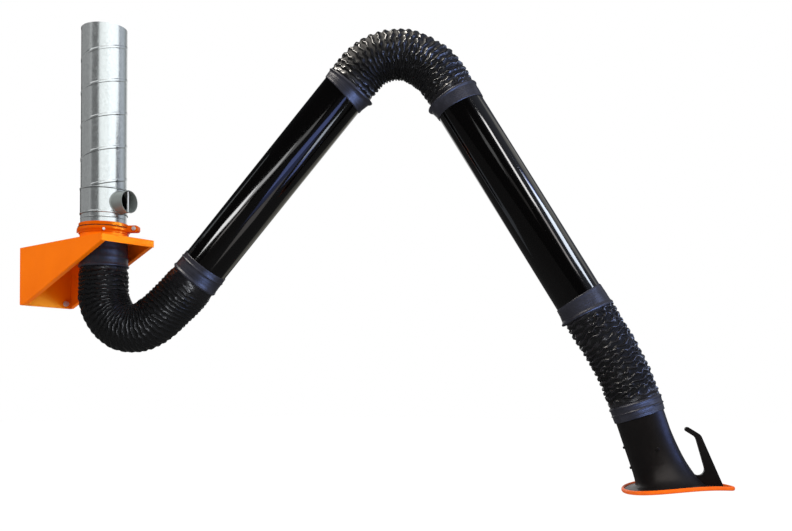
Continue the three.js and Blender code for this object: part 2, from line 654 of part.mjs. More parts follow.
function addLowerArm() {
  addTube(lower, 'lower_tube', LOWER_TUBE_START);
  piece(lower, 'cuff_base_arm', turnToX(cuff(LOWER_TUBE_START + BASE_CUFF_LENGTH, BASE_HOSE.end)), CUFF_GREY);
  const tubeEnd = LOWER_TUBE_START + TUBE_LENGTH;
  const elbowCuff = cuff(tubeEnd - LOWER_ELBOW_CUFF_LENGTH, ELBOW_HOSE.start);
  piece(lower, 'cuff_elbow_lower', turnToX(elbowCuff), CUFF_GREY);

  const heel = onLower(LOWER_TUBE_START + CROSSBAR_INSET);
  const lever = join(
    ...pairOfBars(INNER_BAR, SHOULDER, onLower(LEVER_KNEE_AT), heel),
    crossbar(heel, LOWER_ELEVATION, CROSSBAR_HALF_LENGTH),
  );
  piece(arm, 'shoulder_lever', cut(lever, pivotHole(SHOULDER)), STEEL);

  const forkRoot = onLower(tubeEnd - CROSSBAR_INSET);
  const fork = join(
    ...pairOfBars(OUTER_BAR, ELBOW, onLower(ELBOW_HOSE.start + KNEE_INSET), forkRoot),
    crossbar(forkRoot, LOWER_ELEVATION, CROSSBAR_HALF_LENGTH),
  );
  piece(arm, 'elbow_fork', cut(fork, pivotHole(ELBOW)), STEEL);
  pivotHardware(arm, 'elbow', ELBOW);

  const path = bentPath(onLower(ELBOW_HOSE.start), ELBOW_CORNER, onUpper(ELBOW_HOSE.end), ELBOW_HOSE.bend);
  piece(arm, 'elbow_hose', ribbedHose(path, ELBOW_HOSE.ribs), HOSE_BLACK);
}

function addUpperArm() {
  addTube(upper, 'upper_tube', UPPER_TUBE_START);
  const tubeEnd = UPPER_TUBE_START + TUBE_LENGTH;
  const elbowCuff = cuff(UPPER_TUBE_START + UPPER_ELBOW_CUFF_LENGTH, ELBOW_HOSE.end);
  piece(upper, 'cuff_elbow_upper', turnToX(elbowCuff), CUFF_GREY);
  const wristCuff = cuff(tubeEnd - WRIST_CUFF_LENGTH, WRIST_HOSE.start);
  piece(upper, 'cuff_wrist_upper', turnToX(wristCuff), CUFF_GREY);

  const heel = onUpper(UPPER_TUBE_START + CROSSBAR_INSET);
  const tongue = join(
    ...pairOfBars(INNER_BAR, ELBOW, onUpper(ELBOW_HOSE.end - KNEE_INSET), heel),
    crossbar(heel, UPPER_ELEVATION, CROSSBAR_HALF_LENGTH),
  );
  piece(arm, 'elbow_tongue', cut(tongue, pivotHole(ELBOW)), STEEL);

  const foot = onUpper(tubeEnd - CROSSBAR_INSET);
  const fork = join(
    ...pairOfBars(OUTER_BAR, WRIST, foot),
    crossbar(foot, UPPER_ELEVATION, CROSSBAR_HALF_LENGTH),
  );
  piece(arm, 'wrist_fork', cut(fork, pivotHole(WRIST)), STEEL);
  pivotHardware(arm, 'wrist', WRIST);

  const path = bentPath(onUpper(WRIST_HOSE.start), WRIST, onNeck(WRIST_HOSE.end), WRIST_HOSE.bend);
  piece(arm, 'wrist_hose', ribbedHose(path, WRIST_HOSE.ribs), HOSE_BLACK);
}

function addWrist() {
  const hoodCuff = cuff(HOOD_CUFF_END, WRIST_HOSE.end, HOOD_NECK_RADIUS + 4 * GAP);
  piece(neck, 'cuff_wrist_hood', turnToX(hoodCuff), CUFF_GREY);
  const [bridgeTop, bridgeFoot] = WRIST_BRIDGE;
  const bridgeHalf = INNER_BAR[1];
  const tongue = join(
    ...pairOfBars(INNER_BAR, [0, 0], [bridgeTop, 0]),
    block([bridgeTop, -bridgeHalf, -BAR_HALF_WIDTH], [bridgeFoot, bridgeHalf, BAR_HALF_WIDTH]),
    turnToX(rod(SPINDLE_RADIUS, bridgeTop + 2, SPINDLE_FOOT, 16)),
  );
  piece(neck, 'wrist_tongue', cut(tongue, pivotHole([0, 0])), STEEL);
  const seat = STRUT_TOP + HUB_HEIGHT + GAP;
  const nut = cut(rod(NUT_RADIUS, seat, seat + NUT_HEIGHT, 6), rod(SPINDLE_RADIUS + GAP, 0, FAR, 16));
  piece(neck, 'spindle_nut', turnToX(nut), ZINC);
}

// Hood

const tiltedAlong = [Math.sin(MOUTH_TILT), Math.cos(MOUTH_TILT)]; // towards the handle, level with the mouth
const tiltedDown = [Math.cos(MOUTH_TILT), -Math.sin(MOUTH_TILT)]; // square out of the mouth

function onMouth([x, z], forward, y, drop) {
  return new THREE.Vector3(
    x + forward * tiltedAlong[0] + drop * tiltedDown[0],
    y,
    z + forward * tiltedAlong[1] + drop * tiltedDown[1],
  );
}

const archAt = (angle) => Math.sin(angle) ** 2 * (FLANGE_ARCH + FLANGE_ARCH_LEAN * Math.cos(angle));

// The flange's edge: an egg, wider away from the handle, whose long sides arch up
function flangeEdge(angle, grow, drop) {
  const forward = (FLANGE_HALF[0] + grow) * Math.cos(angle);
  const sideways = (FLANGE_HALF[1] + grow) * Math.sin(angle) * (1 - FLANGE_NARROWING * Math.cos(angle));
  return onMouth(FLANGE_MIDDLE, forward, sideways, drop - archAt(angle));
}

// One line down the hood's wall at an angle round the neck, then out along the flange
function wallLine(angle, inset) {
  const [cosine, sine] = [Math.cos(angle), Math.sin(angle)];
  const radius = HOOD_NECK_RADIUS - inset;
  const neckAt = (x) => new THREE.Vector3(x, radius * sine, radius * cosine);
  const [halfLong, halfWide] = MOUTH_ROOT_HALF;
  const arch = archAt(angle) * MOUTH_ROOT_ARCH;
  const root = onMouth(MOUTH_ROOT, (halfLong - inset) * cosine, (halfWide - inset) * sine, inset - arch);
  const lean = new THREE.Vector3(1, 0.3 * sine, 0.14 * (1 + cosine)).normalize();
  const start = neckAt(HOOD_FLARE_AT);
  const reach = root.distanceTo(start) * 0.4;
  const flare = new THREE.CubicBezierCurve3(
    start,
    start.clone().add(new THREE.Vector3(reach, 0, 0)),
    root.clone().addScaledVector(lean, -reach),
    root,
  );
  const edge = flangeEdge(angle, 0, inset);
  return [neckAt(HOOD_NECK_TOP), ...flare.getPoints(6), root.clone().lerp(edge, 0.12), edge];
}

function loft(lines) {
  const rows = lines[0].length;
  const positions = lines.flat().flatMap((point) => point.toArray());
  const corners = [];
  lines.forEach((line, column) => {
    const beside = (column + 1) % lines.length;
    for (let row = 0; row < rows; row += 1) {
      const below = (row + 1) % rows;
      const [a, b] = [column * rows + row, column * rows + below];
      const [c, d] = [beside * rows + row, beside * rows + below];
      corners.push(a, b, d, a, d, c);
    }
  });
  const geometry = new THREE.BufferGeometry();
  geometry.setAttribute('position', new THREE.Float32BufferAttribute(positions, 3));
  geometry.setIndex(corners);
  return geometry;
}

const roundAngles = Array.from({ length: HOOD_SIDES }, (_, step) => (2 * Math.PI * step) / HOOD_SIDES);

function hoodShell() {
  return loft(roundAngles.map((angle) => [...wallLine(angle, 0), ...wallLine(angle, HOOD_WALL).reverse()]));
}

// The hood's outside with a little clearance, filled in, for cutting what stands on it
function hoodPlug() {
  return loft(roundAngles.map((angle) => {
    const line = wallLine(angle, -GAP);
    const belowMouth = new THREE.Vector3(line[line.length - 1].x + 90, 0, MOUTH_ROOT[1]);
    return [new THREE.Vector3(HOOD_NECK_TOP, 0, 0), ...line, belowMouth];
  }));
}

function edgeTrim() {
  const [halfOut, halfHigh] = TRIM_HALF;
  const corners = 8;
  return loft(roundAngles.map((angle) => Array.from({ length: corners }, (_, corner) => {
    const around = (2 * Math.PI * corner) / corners;
    const grow = halfOut + GAP + halfOut * Math.cos(around);
    return flangeEdge(angle, grow, HOOD_WALL / 2 + halfHigh * Math.sin(around));
  })));
}

// The handle's hook: a foot on the flange, a post leaning back over the hood, and a bent-in round end
function handle() {
  const shape = new THREE.Shape();
  shape.moveTo(430, 167);
  shape.lineTo(400, 80);
  shape.lineTo(346, 80);
  shape.lineTo(346, 95);
  shape.bezierCurveTo(370, 104, 366, 130, 344, 131);
  shape.lineTo(262, 135);
  shape.quadraticCurveTo(252, 135.5, 247, 131.5);
  shape.lineTo(HANDLE_TIP[0] + 4.5, HANDLE_TIP[1] - 5.4);
  shape.absarc(...HANDLE_TIP, HANDLE_TIP_RADIUS, -50 * DEG, -230 * DEG, true);
  shape.lineTo(244, 147.5);
  shape.quadraticCurveTo(252, 153.5, 262, 153.3);
  shape.closePath();
  const hook = acrossShape(shape, -HANDLE_HALF_THICKNESS, HANDLE_HALF_THICKNESS);
  return cut(hook, hoodPlug());
}

function addHood(hood) {
  const onShaft = (geometry) => turnToY(geometry).translate(DAMPER_AT, 0, DAMPER_OFFSET);
  const shaftHole = onShaft(rod(DAMPER_SHAFT_RADIUS + GAP, -FAR, FAR));
  const screwHole = (x) => rod(HOOD_SCREW_RADIUS + GAP, -FAR, HOOD_SCREW_END + 22).translate(x, 0, 0);
  const screwHoles = HOOD_SCREWS_AT.map(screwHole);
  piece(hood, 'hood_shell', cut(hoodShell(), shaftHole, ...screwHoles), HOOD_BLACK);
  piece(hood, 'edge_trim', edgeTrim(), TRIM_ORANGE);
  piece(hood, 'hood_handle', handle(), HOOD_BLACK);

  const strutCorner = [STRUT_TOP, -STRUT_HALF_WIDTH, STRUT_FACE];
  const strut = join(
    turnToX(rod(HUB_RADIUS, STRUT_TOP, STRUT_TOP + HUB_HEIGHT, ROUND)),
    block(strutCorner, [STRUT_TOP + HUB_HEIGHT, STRUT_HALF_WIDTH, 0]),
    block(strutCorner, [STRUT_FOOT, STRUT_HALF_WIDTH, STRUT_FACE + STRUT_THICKNESS]),
  );
  const spindleHole = turnToX(rod(SPINDLE_RADIUS + GAP, 0, FAR, 16));
  piece(hood, 'hood_strut', cut(strut, spindleHole, ...screwHoles), STEEL);

  HOOD_SCREWS_AT.forEach((x, index) => {
    const face = -HOOD_NECK_RADIUS - 1;
    const head = rod(HOOD_SCREW_HEAD, face - 3, face);
    const screw = join(head, rod(HOOD_SCREW_RADIUS, face - 1, HOOD_SCREW_END));
    piece(hood, `hood_screw_${index + 1}`, screw.translate(x, 0, 0), ZINC);
  });

  const end = DAMPER_SHAFT_END;
  const { radius, halfLength } = DAMPER_BUTTON;
  const shaft = join(rod(DAMPER_SHAFT_RADIUS, -end, end), rod(radius, -end - halfLength, -end + halfLength));
  piece(hood, 'damper_shaft', onShaft(shaft), ZINC);
  const bladeFace = DAMPER_OFFSET + DAMPER_SHAFT_RADIUS + GAP;
  const blade = rod(DAMPER_RADIUS, bladeFace, bladeFace + DAMPER_THICKNESS, ROUND);
  piece(hood, 'damper_blade', blade.translate(DAMPER_AT - DAMPER_OFFSET, 0, 0), STEEL);
}

addConsole();
addTopPlate();
addSwivelStack();
addCollar();
addDuct();
addShoulder();
addLowerArm();
addUpperArm();
addWrist();
addHood(neck);

export default model;
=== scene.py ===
"""Fume extraction arm: surfaces, finishes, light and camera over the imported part.

Sizes are in millimetres. The places of the floor, the camera and the lamps are in metres."""
import json

import bpy
import numpy as np
from mathutils import Matrix


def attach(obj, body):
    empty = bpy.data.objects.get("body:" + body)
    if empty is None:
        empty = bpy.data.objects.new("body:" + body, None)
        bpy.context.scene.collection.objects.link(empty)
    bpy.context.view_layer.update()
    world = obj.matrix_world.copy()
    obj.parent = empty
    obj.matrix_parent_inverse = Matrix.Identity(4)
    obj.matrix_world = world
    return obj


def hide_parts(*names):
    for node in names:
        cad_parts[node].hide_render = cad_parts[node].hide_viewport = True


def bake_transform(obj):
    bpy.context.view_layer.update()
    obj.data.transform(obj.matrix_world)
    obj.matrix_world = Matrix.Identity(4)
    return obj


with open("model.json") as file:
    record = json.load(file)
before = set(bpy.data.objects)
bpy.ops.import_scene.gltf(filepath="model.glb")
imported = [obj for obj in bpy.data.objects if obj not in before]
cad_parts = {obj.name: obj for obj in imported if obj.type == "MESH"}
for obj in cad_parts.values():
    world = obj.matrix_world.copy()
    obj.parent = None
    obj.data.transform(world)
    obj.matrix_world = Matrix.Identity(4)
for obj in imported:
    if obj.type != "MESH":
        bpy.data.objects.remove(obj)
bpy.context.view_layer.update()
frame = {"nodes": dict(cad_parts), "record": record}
scene = bpy.context.scene

MM = 0.001
DEG = np.pi / 180
ROUND = 160  # sides of a large round piece
FINE_ROUND = 192  # sides of the glossy tubes and of the spiral duct
SMALL_ROUND = 48  # sides of a screw or washer
BEVEL_ANGLE = 40  # a bevel rounds the edges past this many degrees
HEAD_SLOPE = 0.6  # drop of a bolt head's corners, as a share of how far they stand out
HEAD_FLAT = 0.93  # share of a bolt head's top that is flat

# Console
CONSOLE_HALF = 100
CONSOLE_DEPTH = 490
APRON_HEIGHT = 24
APRON_LAP = 12
SHEET = 3
GAP = 0.3
WALL_PLATE = 4
CHEEK_FOOT = 20
LIP_WIDTH = 13
LIP_SETBACK = 6
BEND_RADIUS = 4
WALL_BOLT_Y = 76
WALL_BOLT_Z = 82
WASHER_RADIUS = 10.5
WASHER_TOP = 2
BOLT_HEAD_RADIUS = 9.8
BOLT_HEAD_TOP = 8.5
BOLT_TIP_RADIUS = 4.8
BOLT_TIP_TOP = 10

# Swivel and duct, as heights over the console
SWIVEL_X = 352
NECK_BORE = 74.5
NECK_RADIUS = 77
NECK_TOP = 34
NECK_RIM_FOOT = 31
NECK_ROUND = 0.5
WELD_RADIUS = 80
WELD_TOP = 3.2
JOINT_RADIUS = 79
COLLAR_FOOT = 20
COLLAR_TOP = 54
COLLAR_WIDEST = 86
COLLAR_RIM = 81
COLLAR_ROUND = 1.6
COLLAR_SLOPES = ((24, 30), (36, 42))  # levels of the slope out to the widest ring, and of the one back
GROOVE_LEVELS = (29, 48)  # the room inside the collar for the joint's two rims
LUG_YAW = 36 * DEG
LUG_ROOT = 81
LUG_REACH = 120
LUG_HALF_WIDTH = 13
LUG_LEVELS = (27, 49)
LUG_ROUND = 9
LUG_SLIT = 4
LUG_BOLT_REACH = 107
LUG_BOLT_RADIUS = 4
LUG_BOLT_END = 7
LUG_HEAD_RADIUS = 7.5
LUG_HEAD_TOP = 5.7
COLLAR_SCREW_YAWS = (-34 * DEG, -124 * DEG)
COLLAR_SCREW_LEVEL = 27
COLLAR_SCREW_RADIUS = 2.9
COLLAR_SCREW_HEAD = 5
DUCT_RADIUS = 75
DUCT_WALL = 1.0
NIPPLE_FOOT = 42.7
NIPPLE_TOP = 86
NIPPLE_BORE = 72
NIPPLE_PLUG = 73.2
NIPPLE_BEAD_AT = 70.5
NIPPLE_BEAD = 75.6
NIPPLE_ROUND = 0.6
BRANCH_FOOT = 84
BRANCH_TOP = 170
BRANCH_YAW = 10 * DEG
BRANCH_LEVEL = 120
BRANCH_RADIUS = 76.3
BRANCH_BEAD = 1.2
SPIGOT_RADIUS = 36
SPIGOT_BORE = 34.5
SPIGOT_REACH = 116
SPIGOT_SADDLE = 40
SPIGOT_BAR_RADIUS = 3.2
SPIGOT_BAR_SETBACK = 7
DUCT_FOOT = 160
DUCT_TOP = 710
SEAM_PITCH = 111
SEAM_START = 33
SEAM_WIDTH = 6
SEAM_HEIGHT = 1.0
SEAM_STEEPNESS = 1.6
DUCT_WAVE = 0.06  # depth to which the duct's sheet is uneven

# Arm
ARM_YAW = 30 * DEG
SWIVEL_TUBE_RADIUS = 73
TUBE_RADIUS = 75
TUBE_BORE = 73.5
TUBE_ROUND = 0.6
TUBE_LENGTH = 790
BASE_CORNER = (0, -510)
LOWER_ELEVATION = 49.6 * DEG
LOWER_TUBE_START = 505
ELBOW_AT = 1570
UPPER_ELEVATION = -59.2 * DEG
UPPER_TUBE_START = 308
WRIST_AT = 1320
NECK_ELEVATION = -72.2 * DEG
CUFF_LIP = 77.5
CUFF_BODY = 79
CUFF_EDGE = 1.2  # how far both ends are rounded in
CUFF_CREASES = (0.35, 0.3)  # depth of the wide creases and of those that run round
BASE_TOP_CUFF_START = -8
BASE_CUFF_LENGTH = 48
LOWER_ELBOW_CUFF_LENGTH = 38
UPPER_ELBOW_CUFF_LENGTH = 42
WRIST_CUFF_LENGTH = 46
HOOD_CUFF_END = 143
SHOULDER = (70, -318)
SPRING_RADIUS = 12.5
SPRING_WIRE = 4
SPRING_TURNS = 4
SPRING_PITCH = 5
SPRING_LEG = 34

# Hoses: where each begins and ends, how it bends, and the line along which it gives as its joint turns
HOSE_CREST = 81
HOSE_ROOT = 76.5
HOSE_EDGE = 5  # length at each end over which the skin comes down to its root
BULGE_LENGTH = 30  # length at each end over which the bulge grows
RISE_UNEVEN = 0.3  # how far the wire's height varies, as a share of it
KINK_UNEVEN = 0.7  # the same for the size of its kinks
KINK_DRIFT = 5  # how far the kinks drift round, in radians of their wave
CALM_RISE = 0.2  # share of the wire's height that is left at the calm ends
CALM_SHINE = 0.6
CALM_GREYING = 0.4
BASE_HOSE_TOP = -92
BASE_HOSE_END = 487
BASE_BEND = 123
BASE_TURN = ((94, -66), (212, -148))
ELBOW_HOSE_START = 1298
ELBOW_HOSE_END = 301
ELBOW_BEND = 164
ELBOW_TURN = ((906, 0), (1106, 0))
WRIST_HOSE_START = 1105
WRIST_HOSE_END = 94
WRIST_BEND = 780
WRIST_TURN_START = 1116
WRIST_TURN_END = 83

# Pleats of each hose; hose_surface says what each value does
FINE_PLEATS = {
    "ribs": 36, "rows_per_rib": 12, "sides": 180,
    "sway": 0.15, "kinks": 16, "zigzag": 0.1, "sharpness": 1.5,
    "depth": 0.6, "bulge": 2.5, "fold": 0.35, "bore": 72.5,
    "calm": (18, 80), "wrinkle": 2.4, "slant": 9, "greying": 0.0,
    "bows": [(16, 0.65, 90)],
    "swellings": [(4, 0.255, 36, 0, 2), (-8, 0.41, 17, 0, 3), (3, 0.43, 70, np.pi, 2)],
}
WAVY_PLEATS = {
    "ribs": 24, "rows_per_rib": 16, "sides": 220,
    "sway": 0.12, "kinks": 16, "zigzag": 0.11, "sharpness": 1.6,
    "depth": 1.25, "bulge": -2.5, "fold": 0.6, "bore": 68,
    "calm": (30, 40), "wrinkle": 1.6, "slant": 3, "greying": 0.15,
    "bows": [(-6, 0.67, 55)],
    "swellings": [],
}
LOOSE_PLEATS = {
    "ribs": 16, "rows_per_rib": 18, "sides": 220,
    "sway": 0.4, "kinks": 14, "zigzag": 0.15, "sharpness": 1.5,
    "depth": 1.2, "bulge": -2.0, "fold": 1.0, "bore": 68,
    "calm": (22, 22), "wrinkle": 1.6, "slant": 5, "greying": 0.55,
    "bows": [],
    "swellings": [],
}

# Hood, in its neck's frame
HOOD_WALL = 3
HOOD_NECK_RADIUS = 73.5
HOOD_NECK_TOP = 100
HOOD_FLARE_AT = 205
MOUTH_TILT = 16.2 * DEG
MOUTH_ROOT = (364, 16)
MOUTH_ROOT_HALF = (93, 97)
FLANGE_MIDDLE = (384, 38)
FLANGE_HALF = (155, 160)
FLANGE_NARROWING = 0.5
FLANGE_ARCH = 12.5
FLANGE_ARCH_LEAN = 3
ROOT_ARCH = 0.6
FLARE_ROWS = 40
FLARE_PULL = 0.4  # handles of the flare's curve, as a share of the distance that it spans
FLARE_START_LEAN = 0.03  # how far the curve starts outwards at the front
FLARE_END_LEAN = (0.3, 0.14)  # how far it ends outwards at the sides and at the front
FLARE_FILLET_FROM = 23  # the row from which a rounded turn takes the flare's place
FILLET_LANDING = (0.16, 0.66)  # share of the flange that the turn takes up, and what the sides add
TRIM_HALF = (5, 6.3)
HANDLE_HALF = 10
HANDLE_FOOT = (347, 175)  # the least distance along the neck and the greatest one up
HANDLE_CROOK = ((370, 104), (366, 130), (344, 131))
HANDLE_INNER = ((262, 135), (254, 135.3), (249, 133.5), (246, 130.8))
HANDLE_TIP = (222, 120)
HANDLE_TIP_RADIUS = 7
HANDLE_TIP_TURN = (-50, -230)  # the tip goes round from one to the other, in degrees
HANDLE_BACK = ((244, 147.5), (250, 152), (255, 153.3), (262, 153.3))
HOOD_SCREWS_AT = (219, 283)
HOOD_SCREW_FACE = 74.5
HOOD_SCREW_FOOT = 62
HOOD_SCREW_RADIUS = 3
HOOD_SCREW_HEAD = 4
DAMPER_AT = 247
DAMPER_OFFSET = 12
DAMPER_SHAFT_END = 79
DAMPER_SHAFT_RADIUS = 4
DAMPER_BUTTON = 5

# Camera, floor and room
FLOOR_LEVEL = -2.15
FLOOR_HALF = 60
FLOOR_SHADE = (0.9, 0.9, 0.9)
FLOOR_SEEN = (1.1, 0.88)  # brightness for the camera, and its share beside the floor's own shade
FLOOR_MIRRORED = (0.03, 0.9)  # the same in gloss
EVEN_LIGHT = 0.66
ROOM_COLOUR = (0.9, 0.95, 1.0)
ROOM_LIGHT = 0.025
BACKDROP_SPREAD = (0.82, 0.95)  # the ray's shares of its direction at which it begins and is full
WALL_DIRECTION = (0.66, 0.55, 0.51)
WALL_SPREAD = (0.5, 0.9)
WALL_COLOUR = (0.28, 0.3, 0.36)
CAMERA_PLACE = (3.0901, -1.8357, -0.4257)
CAMERA_YAW = 38.954 * DEG
CAMERA_PITCH = 1.291 * DEG
CAMERA_ROLL = -0.141 * DEG
CAMERA_LENS = 42.999
CAMERA_SHIFT = 0.14
SENSOR = 36
PICTURE = (792, 531)
PIXEL = 2.7  # size on the tubes of one of the picture's pixels, in millimetres

# Lamps
LAMP_DISTANCE = 3
LAMP_TARGET = (1.0, 0.4, 0.0)
TUBE_GLOSS = 0.04  # share of light that the tubes' paint mirrors straight back
WHITE = (1, 1, 1)
GREY = (1, 0.94, 0.92)
PALE_BLUE = (0.8, 0.88, 1)
BLUE = (0.3, 0.4, 1)
OLIVE = (1, 0.97, 0.82)

# Soft lamps: place, size, power in watts, colour
SOFT_LAMPS = {
    "key": ((4.2, -1.0, 2.2), 2.2, 115, (0.95, 0.97, 1.0)),
    "fill": ((-1.5, -3.5, 1.5), 2.0, 46, WHITE),
}

# Bright lines on the glossy tubes: the picture's places of both ends, width in pixels, brightness, colour
LOWER_STREAKS = (
    ((185, 272), (345, 88), 1.4, 0.08, WHITE),
    ((185, 272), (300, 139), 1.4, 0.2, WHITE),
    ((185, 272), (240, 208.5), 1.8, 0.45, WHITE),
    ((188, 276), (238, 215.5), 1.2, 0.1, GREY),
    ((205, 276), (269, 200), 3.5, 0.045, GREY),
    ((259, 208), (307.5, 145.8), 6, 0.04, BLUE),
    ((307.5, 145.8), (352, 87), 6, 0.14, BLUE),
    ((296, 170), (325, 132.6), 1.6, 0.18, BLUE),
    ((325, 132.6), (362, 85), 1.9, 0.33, PALE_BLUE),
    ((222, 281), (360, 107), 4, 0.06, OLIVE),
)
UPPER_STREAKS = (
    ((460, 81.7), (600, 309.2), 1.4, 0.22, GREY),
    ((460, 81.7), (540, 212), 1.6, 0.55, WHITE),
    ((455, 92.5), (490, 146.6), 2.2, 0.06, WHITE),
    ((490, 146.6), (540, 223.8), 1.6, 0.016, GREY),
    ((528, 182), (545, 208), 1.2, 0.35, BLUE),
    ((536, 194), (610, 316), 2.5, 0.8, PALE_BLUE),
    ((453, 125), (480, 174), 5, 0.022, PALE_BLUE),
    ((476, 90.5), (600, 292), 3, 0.06, OLIVE),
)

# Panels that only gloss shows: direction (yaw and elevation in degrees), size, radiance, colour
DUCT_MIDDLE = (0.352, 0, 0.5)
DUCT_PANELS = {
    "duct_window": ((-10, 15), (6.6, 2.6), 1.2, (0.97, 1.0, 1.0)),
    "duct_left": ((-140, 15), (5.0, 2.6), 0.3, WHITE),
    "duct_dim": ((-85, 15), (2.4, 2.6), 0.14, WHITE),
    "duct_sky": ((-60, 58), (6.0, 2.2), 0.9, WHITE),
    "duct_right": ((75, 15), (2.6, 2.6), 0.22, (0.92, 1.0, 0.96)),
}
ARM_MIDDLE = (1.2, 0.5, 0.2)
CUFF_PANELS = {
    "cuff_side": ((14, 12), (1.2, 1.8), 5, (0.42, 0.54, 1.0)),
    "cuff_top": ((-130, 62), (2.2, 1.2), 14, (1.0, 0.94, 0.86)),
    "cuff_sky": ((-60, 65), (3.0, 2.4), 0.7, (1.0, 0.93, 0.89)),
    "cuff_low": ((-5, -30), (2.4, 1.6), 14, (0.32, 0.46, 1.0)),
}
HOSE_PANELS = {
    "front": ((-45, -8), (0.4, 3.4), (0.9, 0.93, 1.0)),
    "side": ((14, 12), (0.5, 1.5), (0.36, 0.48, 1.0)),
    "top": ((-130, 62), (1.8, 0.5), (1.0, 0.94, 0.86)),
    "right": ((62, 12), (0.5, 1.6), (0.5, 0.62, 1.0)),
}
HOSE_RADIANCE = {
    "base_hose": {"front": 13, "side": 5},
    "elbow_hose": {"front": 12, "side": 22, "top": 65, "right": 9},
    "wrist_hose": {"front": 8, "side": 14, "top": 24, "right": 9},
}
HOOD_MIDDLE = (1.9, 0.9, -0.5)
HOOD_PANELS = {
    "hood_sky": ((-60, 58), (4.4, 3.6), 1.5, (1.0, 0.92, 0.88)),
    "hood_side": ((40, 8), (1.6, 1.6), 3.4, (0.25, 0.36, 1.0)),
}
CONSOLE_FRONT = (0.45, 0, 0.1)
CONSOLE_PANELS = {
    "orange_front": ((35, 11), (2.6, 2.6), 46, (1.0, 0.95, 0.25)),
}


# Finishes


class Wiring:
    """Short ways to add nodes to a shader tree."""

    def __init__(self, tree):
        self.tree = tree

    def add(self, kind, inputs=(), **settings):
        """The outputs of a new node; each of its inputs is a plain value or another node's output."""
        node = self.tree.nodes.new(kind)
        for setting, value in settings.items():
            setattr(node, setting, value)
        for socket, value in dict(inputs).items():
            if isinstance(value, bpy.types.NodeSocket):
                self.tree.links.new(value, node.inputs[socket])
            else:
                node.inputs[socket].default_value = value
        return node.outputs

    def maths(self, operation, first, second):
        return self.add("ShaderNodeMath", {0: first, 1: second}, operation=operation)[0]

    def mix(self, share, first, second):
        return self.add("ShaderNodeMixShader", {0: share, 1: first, 2: second})[0]


class Finish(Wiring):
    """A material with one Principled shader, and short ways to colour, dull and roughen it."""

    def __init__(self, name, **sockets):
        self.material = bpy.data.materials.new(name)
        self.material.use_nodes = True
        super().__init__(self.material.node_tree)
        self.shader = self.tree.nodes["Principled BSDF"]
        self.place = self.add("ShaderNodeTexCoord")["Object"]
        for socket, value in sockets.items():
            self.shader.inputs[socket.replace("_", " ")].default_value = value

    def noise(self, scale, detail):
        return self.add("ShaderNodeTexNoise", {"Vector": self.place, "Scale": scale, "Detail": detail})["Fac"]

    def attribute(self, name):
        return self.add("ShaderNodeAttribute", attribute_name=name)["Fac"]

    def spread(self, value, low, high, to_low, to_high):
        """Moves value from the range low..high to the range to_low..to_high."""
        inputs = {"Value": value, "From Min": low, "From Max": high, "To Min": to_low, "To Max": to_high}
        return self.add("ShaderNodeMapRange", inputs)["Result"]

    def cloud(self, scale, detail):
        """Soft patches from 0 to 1."""
        return self.spread(self.noise(scale, detail), 0.35, 0.7, 0, 1)

    def blend(self, share, first, second):
        """A colour between two, each of them a plain colour or another node's output."""
        first, second = ((*colour, 1) if isinstance(colour, tuple) else colour for colour in (first, second))
        return self.add("ShaderNodeMix", {0: share, 6: first, 7: second}, data_type="RGBA")[2]

    def colour(self, output):
        self.tree.links.new(output, self.shader.inputs["Base Color"])

    def rough(self, output):
        self.tree.links.new(output, self.shader.inputs["Roughness"])

    def wander(self, scale, low, high, detail=3):
        """A level that wanders between two, for roughness."""
        return self.spread(self.noise(scale, detail), 0.3, 0.7, low, high)

    def grain(self, scale, strength, distance, detail=2):
        """Adds fine bumps to the surface's normal, over any added before."""
        inputs = {"Strength": strength, "Distance": distance, "Height": self.noise(scale, detail)}
        normal = self.shader.inputs["Normal"]
        if normal.is_linked:
            inputs["Normal"] = normal.links[0].from_socket
        self.tree.links.new(self.add("ShaderNodeBump", inputs)["Normal"], normal)


def powder_coat(name, dark, light, roughness):
    finish = Finish(name, Specular_IOR_Level=0.12, Specular_Tint=(1, 0.85, 0.3, 1))
    finish.colour(finish.blend(finish.cloud(7, 4), dark, light))
    finish.rough(finish.wander(40, roughness, roughness + 0.12))
    finish.grain(420, 0.06, 0.0006)
    return finish.material


def galvanised_sheet():
    """Zinc-dipped sheet: each cell of its spangle has its own shade and gloss."""
    finish = Finish("galvanised_sheet", Metallic=1.0)
    flattened = finish.add("ShaderNodeMapping", {"Vector": finish.place, "Scale": (1, 1, 0.7)})["Vector"]
    cells = finish.add("ShaderNodeTexVoronoi", {"Vector": flattened, "Scale": 170})["Color"]
    spangle = finish.add("ShaderNodeSeparateColor", {"Color": cells})["Red"]
    finish.colour(finish.blend(spangle, (0.66, 0.69, 0.69), (0.73, 0.76, 0.76)))
    finish.rough(finish.spread(spangle, 0, 1, 0.2, 0.27))
    finish.grain(30, 0.025, 0.002)
    return finish.material


def plated(name, colour, low, high, metallic=1.0):
    finish = Finish(name, Metallic=metallic, Base_Color=(*colour, 1))
    finish.rough(finish.wander(220, low, high))
    finish.grain(500, 0.05, 0.0004)
    return finish.material


def gloss_paint():
    finish = Finish("gloss_paint", Base_Color=(0.0009, 0.0007, 0.0007, 1), Specular_IOR_Level=0.5)
    finish.rough(finish.wander(60, 0.07, 0.1))
    finish.grain(18, 0.012, 0.002)
    return finish.material


